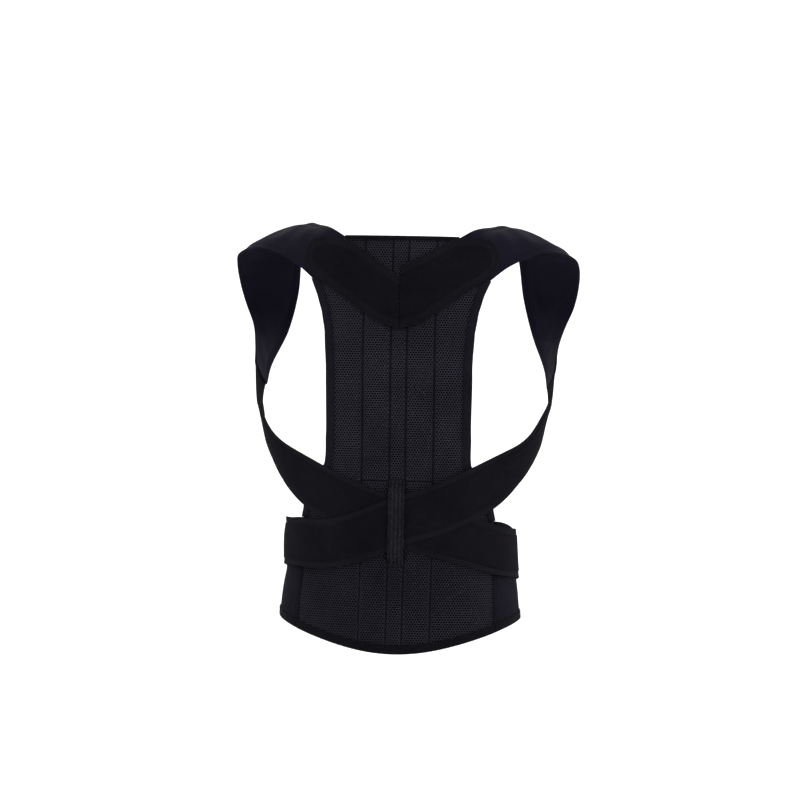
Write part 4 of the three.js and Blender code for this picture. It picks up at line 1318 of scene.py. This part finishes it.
def beside(path, sideways):
    """Places beside a path, across it by distances to the left of its direction, per step or for all."""
    ahead = np.roll(path, -2, 0) - np.roll(path, 2, 0)
    ahead[:2], ahead[-2:] = path[2] - path[0], path[-1] - path[-3]
    return path[:, None] + left_of(unit(ahead))[:, None] * np.atleast_2d(sideways)[..., None]


def strap_under(path, upper, over):
    """Offset of a strap's inner face: over the belt, over the other strap and over the top wing."""
    share = smooth((CROSSING_HALF + CROSSING_FADE - np.abs(path[:, 0])) / CROSSING_FADE) if upper else 0
    crossing = blend_to(LOWER_STRAP, UPPER_STRAP, share)
    return crossing + np.where(path[:, 0] < 0, wing_lift(-path[:, 0], over), 0)


def strap_thickness(edge):
    """Share of the strap's wall: thin at the woven edge tape, full under the pile."""
    inside = edge - STRAP_TAPE
    groove = TAPE_GROOVE_SHARE * bell(inside, TAPE_GROOVE_HALF)
    return blend_to(STRAP_TAPE_SHARE, 1, smooth(inside / TAPE_RAMP)) - groove


def cross_strap(half):
    path, length = strap_path(half)
    near = [STRAP_TAPE + k * TAPE_GROOVE_HALF for k in range(-1, 3)]
    near += [STRAP_WIDTH - distance for distance in near]
    sideways = spread(STRAP_WIDTH, "strap_across", near) - STRAP_WIDTH / 2
    edge = STRAP_WIDTH / 2 - np.abs(sideways)
    places = beside(path, sideways * strap_half(path[:, :1]) / (STRAP_WIDTH / 2))
    along = np.linspace(0, length, PATH_STEPS + 1)[:, None]
    from_end = np.minimum(along, length - along)
    round_edge = rounded(np.minimum(edge, from_end + STRAP_WALL / 4), STRAP_WALL / 2)
    under = strap_under(path, half.upper_strap, not half.over_wing)[:, None]
    inner = under + STRAP_WALL * STRAP_RIM_LIFT * (1 - round_edge)
    outer = inner + STRAP_WALL * strap_thickness(edge) * round_edge
    strap = layer_piece(
        f"cross_strap_{half.word}", "elastic", half.side * places[..., 0], places[..., 1], inner, outer,
        "loop_cloth", edge, grid_places(along, sideways),
    )
    return strap, length


def hook_tab(half):
    path, length = strap_path(half)
    along = np.linspace(0, length, PATH_STEPS + 1)
    kept = (along > length - TAB_LENGTH) & (along < length - TAB_MARGIN)
    reach = STRAP_WIDTH / 2 - TAB_MARGIN
    sideways = spread(2 * reach, "tab_across") - reach
    places = beside(path, sideways)[kept]
    middle = strap_under(path, False, not half.over_wing)[kept][:, None] - SEAM_GAP - TAB_WALL / 2
    wall = half_wall(TAB_WALL, reach - np.abs(sideways))
    return layer_piece(
        f"hook_tab_{half.word}", "hooks", half.side * places[..., 0], places[..., 1],
        middle - wall, middle + wall, "hook_tape", uv=grid_places(along[kept][:, None], sideways),
    )


def tab_seams(half):
    """The seam that holds a hook tab, seen on the strap's outer face."""
    path, length = strap_path(half)
    reach = STRAP_WIDTH / 2 - TAB_MARGIN - TAB_SEAM_INSET
    first = PATH_STEPS - round(TAB_LENGTH / length * PATH_STEPS)
    last = PATH_STEPS - round(2 * TAB_MARGIN / length * PATH_STEPS)
    rows = np.arange(first, last + 1)
    lines = beside(path, np.array([-reach, reach]))[rows]
    ring = np.concatenate([lines[:, 0], lines[::-1, 1], lines[:1, 0]])
    under = strap_under(path, False, not half.over_wing)[rows]
    lift = np.concatenate([under, under[::-1], under[:1]]) + STRAP_WALL
    return [layer_seam(half.side * ring[:, 0], ring[:, 1], lift)]


# Centre loop


def loop_under(z):
    """Offset of the loop's inner face: on the panel at its two seams, over both straps between."""
    foot = PANEL_WALL + CHANNEL_PUFF * LOOP_FOOT_SHARE + SEAM_GAP
    from_seam = np.minimum(LOOP_TOP - z, z - LOOP_BOTTOM) - LOOP_SEAM
    return blend_to(foot, LOOP_OVER, smooth(from_seam / LOOP_RAMP))


def centre_loop():
    z = (LOOP_BOTTOM + spread(LOOP_TOP - LOOP_BOTTOM, "loop_up"))[:, None]
    girth = spread(LOOP_WIDTH, "loop_across") - LOOP_WIDTH / 2
    edge = np.minimum(LOOP_WIDTH / 2 - np.abs(girth), np.minimum(z - LOOP_BOTTOM, LOOP_TOP - z))
    wall = half_wall(LOOP_WALL, edge)
    middle = loop_under(z) + LOOP_WALL / 2
    return layer_piece("centre_loop", "webbing", girth, z, middle - wall, middle + wall, "webbing")


def loop_seams():
    """Two stitched lines across each end of the loop."""
    across = np.arange(LOOP_SEAM_INSET - LOOP_WIDTH / 2, LOOP_WIDTH / 2 - LOOP_SEAM_STEP, LOOP_SEAM_STEP)
    insets = (LOOP_SEAM_INSET, LOOP_SEAM - LOOP_SEAM_BACK)
    heights = [LOOP_TOP - inset for inset in insets] + [LOOP_BOTTOM + inset for inset in insets]
    return [layer_seam(across, z, loop_under(z) + LOOP_WALL) for z in heights]


# V bands


def v_band(half):
    share = spread(1.0, "band_out")[:, None]
    girth, z = band_place(share, spread(1.0, "band_across"), half.notch_drop)
    edge = nearest(np.stack([girth, z], -1), band_edge(half.notch_drop))
    wall = half_wall(BAND_WALL, edge)
    step = blend_to(BAND_TAPE_SHARE, 1, smooth((edge - BAND_TAPE) / TAPE_RAMP))
    middle = BAND_UNDER + BAND_WALL / 2
    return layer_piece(
        f"v_band_{half.word}", "loop", half.side * girth, z, middle - wall, middle + wall * step,
        "loop_cloth", edge * STRAP_TAPE / BAND_TAPE,
    )


def band_seams(half):
    """The seam round a V band, a little inside its free edge."""
    line = band_edge(half.notch_drop)
    inside = line + left_of(unit(np.gradient(line, axis=0))) * BAND_SEAM_INSET
    return [layer_seam(half.side * inside[:, 0], inside[:, 1], BAND_UNDER + BAND_WALL)]


# Padded shoulder straps

STRAP_LINES = 5
SHOULDER_LEVEL_SHARE = 0.08
# Columns beside a strap's border, in shares of the border's width
BORDER_SHARES = (0.85, 0.95, 1.05, 1.15, 1.3)


def shoulder_rows(half):
    """Rows of points across a shoulder strap's middle surface, from the neck side to the arm side."""
    across = np.linspace(0, 1, STRAP_LINES)
    corner = np.array([PANEL_SHOULDER_HALF, CORNER_HEIGHT])
    neck = np.array([PANEL_TOP_HALF, PANEL_TOP])
    outwards = left_of(unit(corner - neck))

    def root_row(run_neck, run_arm):
        run = blend_to(run_neck, run_arm, across)
        place = blend_to(neck, corner, across[:, None]) + outwards * run[:, None]
        sag = ROOT_SAG * (run / ROOT_RUN) * (1 - across)
        return layer(place[:, 0], place[:, 1] - sag, PANEL_WALL / 2)

    reach = {"out": SHOULDER_REACH, "fore": TORSO_BACK_DEPTH, "up": SHOULDER_RISE}
    middle = np.stack([SHOULDER[key] * size for key, size in reach.items()], -1)
    ways = unit(np.stack([SHOULDER[key] for key in ("across_x", "across_y", "across_z")], -1))
    outs = unit(np.cross(ways, through_ways(middle)))
    sideways = (across - 0.5) * SHOULDER["width"][:, None] * SHOULDER_WIDTH
    crown = 4 * across * (1 - across) * SHOULDER["bulge"][:, None] * SHOULDER_WIDTH
    free = middle[:, None] + ways[:, None] * sideways[..., None] + outs[:, None] * crown[..., None]

    path, _ = strap_path(half)
    ahead = unit(path[2] - path[0])

    def underarm_row(run):
        side = ((1 - 2 * across) * strap_half(path[0, 0]))[:, None]
        place = path[0] - ahead * run + left_of(ahead) * side
        return layer(place[:, 0], place[:, 1], LOWER_STRAP + STRAP_WALL / 2)

    rows = [root_row(-SEAM_TUCK, -SEAM_TUCK), root_row(ROOT_RUN * ROOT_NECK_SHARE, ROOT_RUN), *free]
    return np.stack([*rows, underarm_row(UNDERARM_RUN), underarm_row(-SEAM_TUCK)])


def smooth_line(points, shares):
    """Places on a centripetal Catmull-Rom curve through points, at shares of its pieces."""
    first, last = 2 * points[0] - points[1], 2 * points[-1] - points[-2]
    padded = np.concatenate([[first], points, [last]])
    spans = np.linalg.norm(np.diff(padded, axis=0), axis=1) ** 0.5
    place = shares * (len(points) - 1)
    i = np.minimum(place.astype(int), len(points) - 2)
    t = (place - i)[:, None]
    p = [padded[i + k] for k in range(4)]
    d = [spans[i + k][:, None] for k in range(3)]
    lead = ((p[1] - p[0]) / d[0] - (p[2] - p[0]) / (d[0] + d[1]) + (p[2] - p[1]) / d[1]) * d[1]
    tail = ((p[2] - p[1]) / d[1] - (p[3] - p[1]) / (d[1] + d[2]) + (p[3] - p[2]) / d[2]) * d[1]
    return hermite(p[1], p[2], lead, tail, t)


def through_lines(wanted):
    """Weights that carry the strap's lines to wanted shares across, by the curve through them all."""
    nodes = np.linspace(0, 1, STRAP_LINES)
    weights = np.ones((len(wanted), STRAP_LINES))
    for j in range(STRAP_LINES):
        for k in range(STRAP_LINES):
            if k != j:
                weights[:, j] *= (wanted - nodes[k]) / (nodes[j] - nodes[k])
    return weights


def shoulder_surface(half, across, grid):
    """A shoulder strap's middle surface, its way out and its width, at shares across and evenly along."""
    rows = shoulder_rows(half)

    def lines_at(shares):
        return np.stack([smooth_line(rows[:, j], shares) for j in range(STRAP_LINES)], 1)

    fine = np.linspace(0, 1, LINE_STEPS)
    along = way_along(lines_at(fine)[:, STRAP_LINES // 2])
    wanted = spread(along[-1], grid)
    even = np.interp(wanted, along, fine)
    lines = lines_at(even)
    surface = np.einsum("ijk,cj->ick", lines, through_lines(across))
    out = unit(np.cross(np.gradient(surface, across, axis=1), np.gradient(surface, axis=0)))
    out[..., 2] *= smooth(np.minimum(even, 1 - even) / SHOULDER_LEVEL_SHARE)[:, None]
    width = np.linalg.norm(np.diff(lines, axis=1), axis=-1).sum(1)
    return surface, unit(out), width, wanted


def pad_thickness(edge):
    """Half of the padded strap's wall at a distance from its edge: a stitched border round the pad."""
    inside = edge - SHOULDER_BORDER
    swell = (SHOULDER_WALL + SHOULDER_PUFF - SHOULDER_EDGE_WALL) * smooth(inside / PAD_RAMP)
    groove = PAD_GROOVE * bell(inside, PAD_GROOVE_HALF)
    return half_wall(SHOULDER_EDGE_WALL, edge) + (swell - groove) / 2


def shoulder_strap(half):
    near = [SHOULDER_BORDER / SHOULDER_WIDTH * share for share in BORDER_SHARES]
    across = spread(1.0, "shoulder_across", near + [1 - share for share in near])
    surface, out, width, along = shoulder_surface(half, across, "shoulder_along")
    edge = np.minimum(across, 1 - across) * width[:, None]
    along = along[:, None]
    fade = smooth(np.minimum(along, along[-1] - along) / PAD_FADE)
    wall = blend_to(half_wall(PANEL_WALL, edge), pad_thickness(edge), fade)
    creases = PAD_CREASE * np.sin(along * 2 * math.pi / PAD_CREASE_PITCH + PAD_CREASE_SLANT * across)
    creases = creases * fade * smooth((edge - SHOULDER_BORDER) / PAD_FADE)
    mirror = np.array([half.side, 1, 1])
    outer = (surface + out * (wall + creases)[..., None]) * mirror
    inner = (surface - out * (wall - creases)[..., None]) * mirror
    uv = grid_places(along, (across - 0.5) * width[:, None])
    return wall_piece(f"shoulder_strap_{half.word}", "pad", outer, inner, uv, "navy_satin", edge)


def shoulder_seams(half):
    """Seams along both borders of a shoulder strap, on its outer face."""
    border = SHOULDER_BORDER / SHOULDER_WIDTH
    surface, out, _, _ = shoulder_surface(half, np.array([border, 0.5, 1 - border]), "shoulder_seam")
    lift = SHOULDER_EDGE_WALL / 2 - STITCH_SUNK
    mirror = np.array([half.side, 1, 1])
    return [((surface[:, k] + out[:, k] * lift) * mirror, out[:, k] * mirror) for k in (0, 2)]


# The whole brace


def dress_back():
    """The panel with its loop, bindings and seams."""
    panel = back_panel()
    loop = centre_loop()
    going = [top_binding(), hem_binding(), side_binding(RIGHT), side_binding(LEFT)]
    going.append(stitched("panel_stitches", panel_seams() + binding_seams()))
    loop_stitches = stitched("loop_stitches", loop_seams())
    z = np.linspace(SEAM_HEIGHT, PANEL_TOP, OUTLINE_STEPS)
    girth = np.linspace(-PANEL_BELT_HALF, PANEL_BELT_HALF, OUTLINE_STEPS)
    hem = np.stack([girth, hem_height(girth)], -1)
    side = np.stack([panel_half(z), z], -1)
    return panel


def dress_side(half):
    """One half's wing, band and straps, with their seams."""
    wing = belt_wing(half)
    going = [wing_binding(half), stitched(f"wing_stitches_{half.word}", wing_seams(half))]
    edge, _ = wing_edge(half)
    line = np.concatenate([edge, [[PANEL_BELT_HALF, SEAM_HEIGHT]]])

    band = v_band(half)
    going = [stitched(f"band_stitches_{half.word}", band_seams(half))]
    line = band_edge(half.notch_drop)

    strap, length = cross_strap(half)
    tab = hook_tab(half)
    going = [stitched(f"tab_stitches_{half.word}", tab_seams(half))]

    pad = shoulder_strap(half)
    stitched(f"shoulder_stitches_{half.word}", shoulder_seams(half))


# Stage, light and camera

FLOOR_HEIGHT = -0.62
WALL_DISTANCE = 2.6
STAGE_HALF_WIDTH = 5.0
STAGE_BACK = -6.0
STAGE_TOP = 4.5
STAGE_RADIUS = 1.2
STAGE_TURNS = 13
WORLD_STRENGTH = 0.20
VIEW_CENTRE = (0, 0, CAMERA_HEIGHT)
BACKDROP = (0.0, WALL_DISTANCE, 0.3)

# Soft square lights: place, target, size and power
LIGHTS = {
    "key_light": ((1.5, -2.8, 1.3), VIEW_CENTRE, 1.6, 40),
    "fill_light": ((-1.8, -2.6, 0.9), VIEW_CENTRE, 1.8, 22),
    "top_light": ((0.2, -0.6, 2.6), VIEW_CENTRE, 1.8, 4),
    "wall_light_left": ((-2.6, 0.6, 1.8), BACKDROP, 2.0, 100),
    "wall_light_right": ((2.6, 0.6, 1.8), BACKDROP, 2.0, 100),
}


def make_stage():
    """A pale floor that curves up into a pale backdrop."""
    centre_y, centre_z = WALL_DISTANCE - STAGE_RADIUS, FLOOR_HEIGHT + STAGE_RADIUS
    turn = np.linspace(0, math.pi / 2, STAGE_TURNS)
    bend = [(centre_y + STAGE_RADIUS * math.sin(a), centre_z - STAGE_RADIUS * math.cos(a)) for a in turn]
    curve = [(STAGE_BACK, FLOOR_HEIGHT), *bend, (WALL_DISTANCE, STAGE_TOP)]
    points = [(x, y, z) for y, z in curve for x in (-STAGE_HALF_WIDTH, STAGE_HALF_WIDTH)]
    faces = [(2 * k, 2 * k + 1, 2 * k + 3, 2 * k + 2) for k in range(len(curve) - 1)]
    mesh = bpy.data.meshes.new("stage")
    mesh.from_pydata(points, [], faces)
    mesh.shade_smooth()
    material, _ = new_material("stage", Base_Color=(0.93, 0.93, 0.93, 1), Roughness=0.9)
    mesh.materials.append(material)
    new_object("stage", mesh)


def make_light():
    for name, (place, target, size, power) in LIGHTS.items():
        lamp = bpy.data.lights.new(name, "AREA")
        lamp.shape = "SQUARE"
        lamp.size = size
        lamp.energy = power
        light = new_object(name, lamp)
        light.location = place
        light.rotation_euler = (Vector(target) - Vector(place)).to_track_quat("-Z", "Y").to_euler()
    world = bpy.data.worlds.new("studio")
    world.use_nodes = True
    background = world.node_tree.nodes["Background"]
    background.inputs["Color"].default_value = (1, 1, 1, 1)
    background.inputs["Strength"].default_value = WORLD_STRENGTH
    bpy.context.scene.world = world
    bpy.context.scene.view_settings.view_transform = "Standard"


def make_camera():
    """The camera at the photograph's angle: straight behind, a little to the right and rolled."""
    data = bpy.data.cameras.new("camera")
    data.lens = CAMERA_LENS
    data.sensor_width = CAMERA_SENSOR
    data.clip_end = 20
    camera = new_object("camera", data)
    across = (CENTRE_PIXEL - AXIS_PIXEL) * PIXEL
    right = Vector((math.cos(CAMERA_AZIMUTH), math.sin(CAMERA_AZIMUTH), 0))
    back = Vector((math.sin(CAMERA_AZIMUTH), -math.cos(CAMERA_AZIMUTH), 0))
    target = right * across + Vector(VIEW_CENTRE)
    place = target + back * CAMERA_DISTANCE
    turn = (target - place).to_track_quat("-Z", "Y").to_matrix().to_4x4()
    camera.matrix_world = Matrix.Translation(place) @ turn @ Matrix.Rotation(CAMERA_ROLL, 4, "Z")
    bpy.context.scene.camera = camera


make_camera()
make_stage()
make_light()
back = dress_back()
for brace_half in (RIGHT, LEFT):
    dress_side(brace_half)
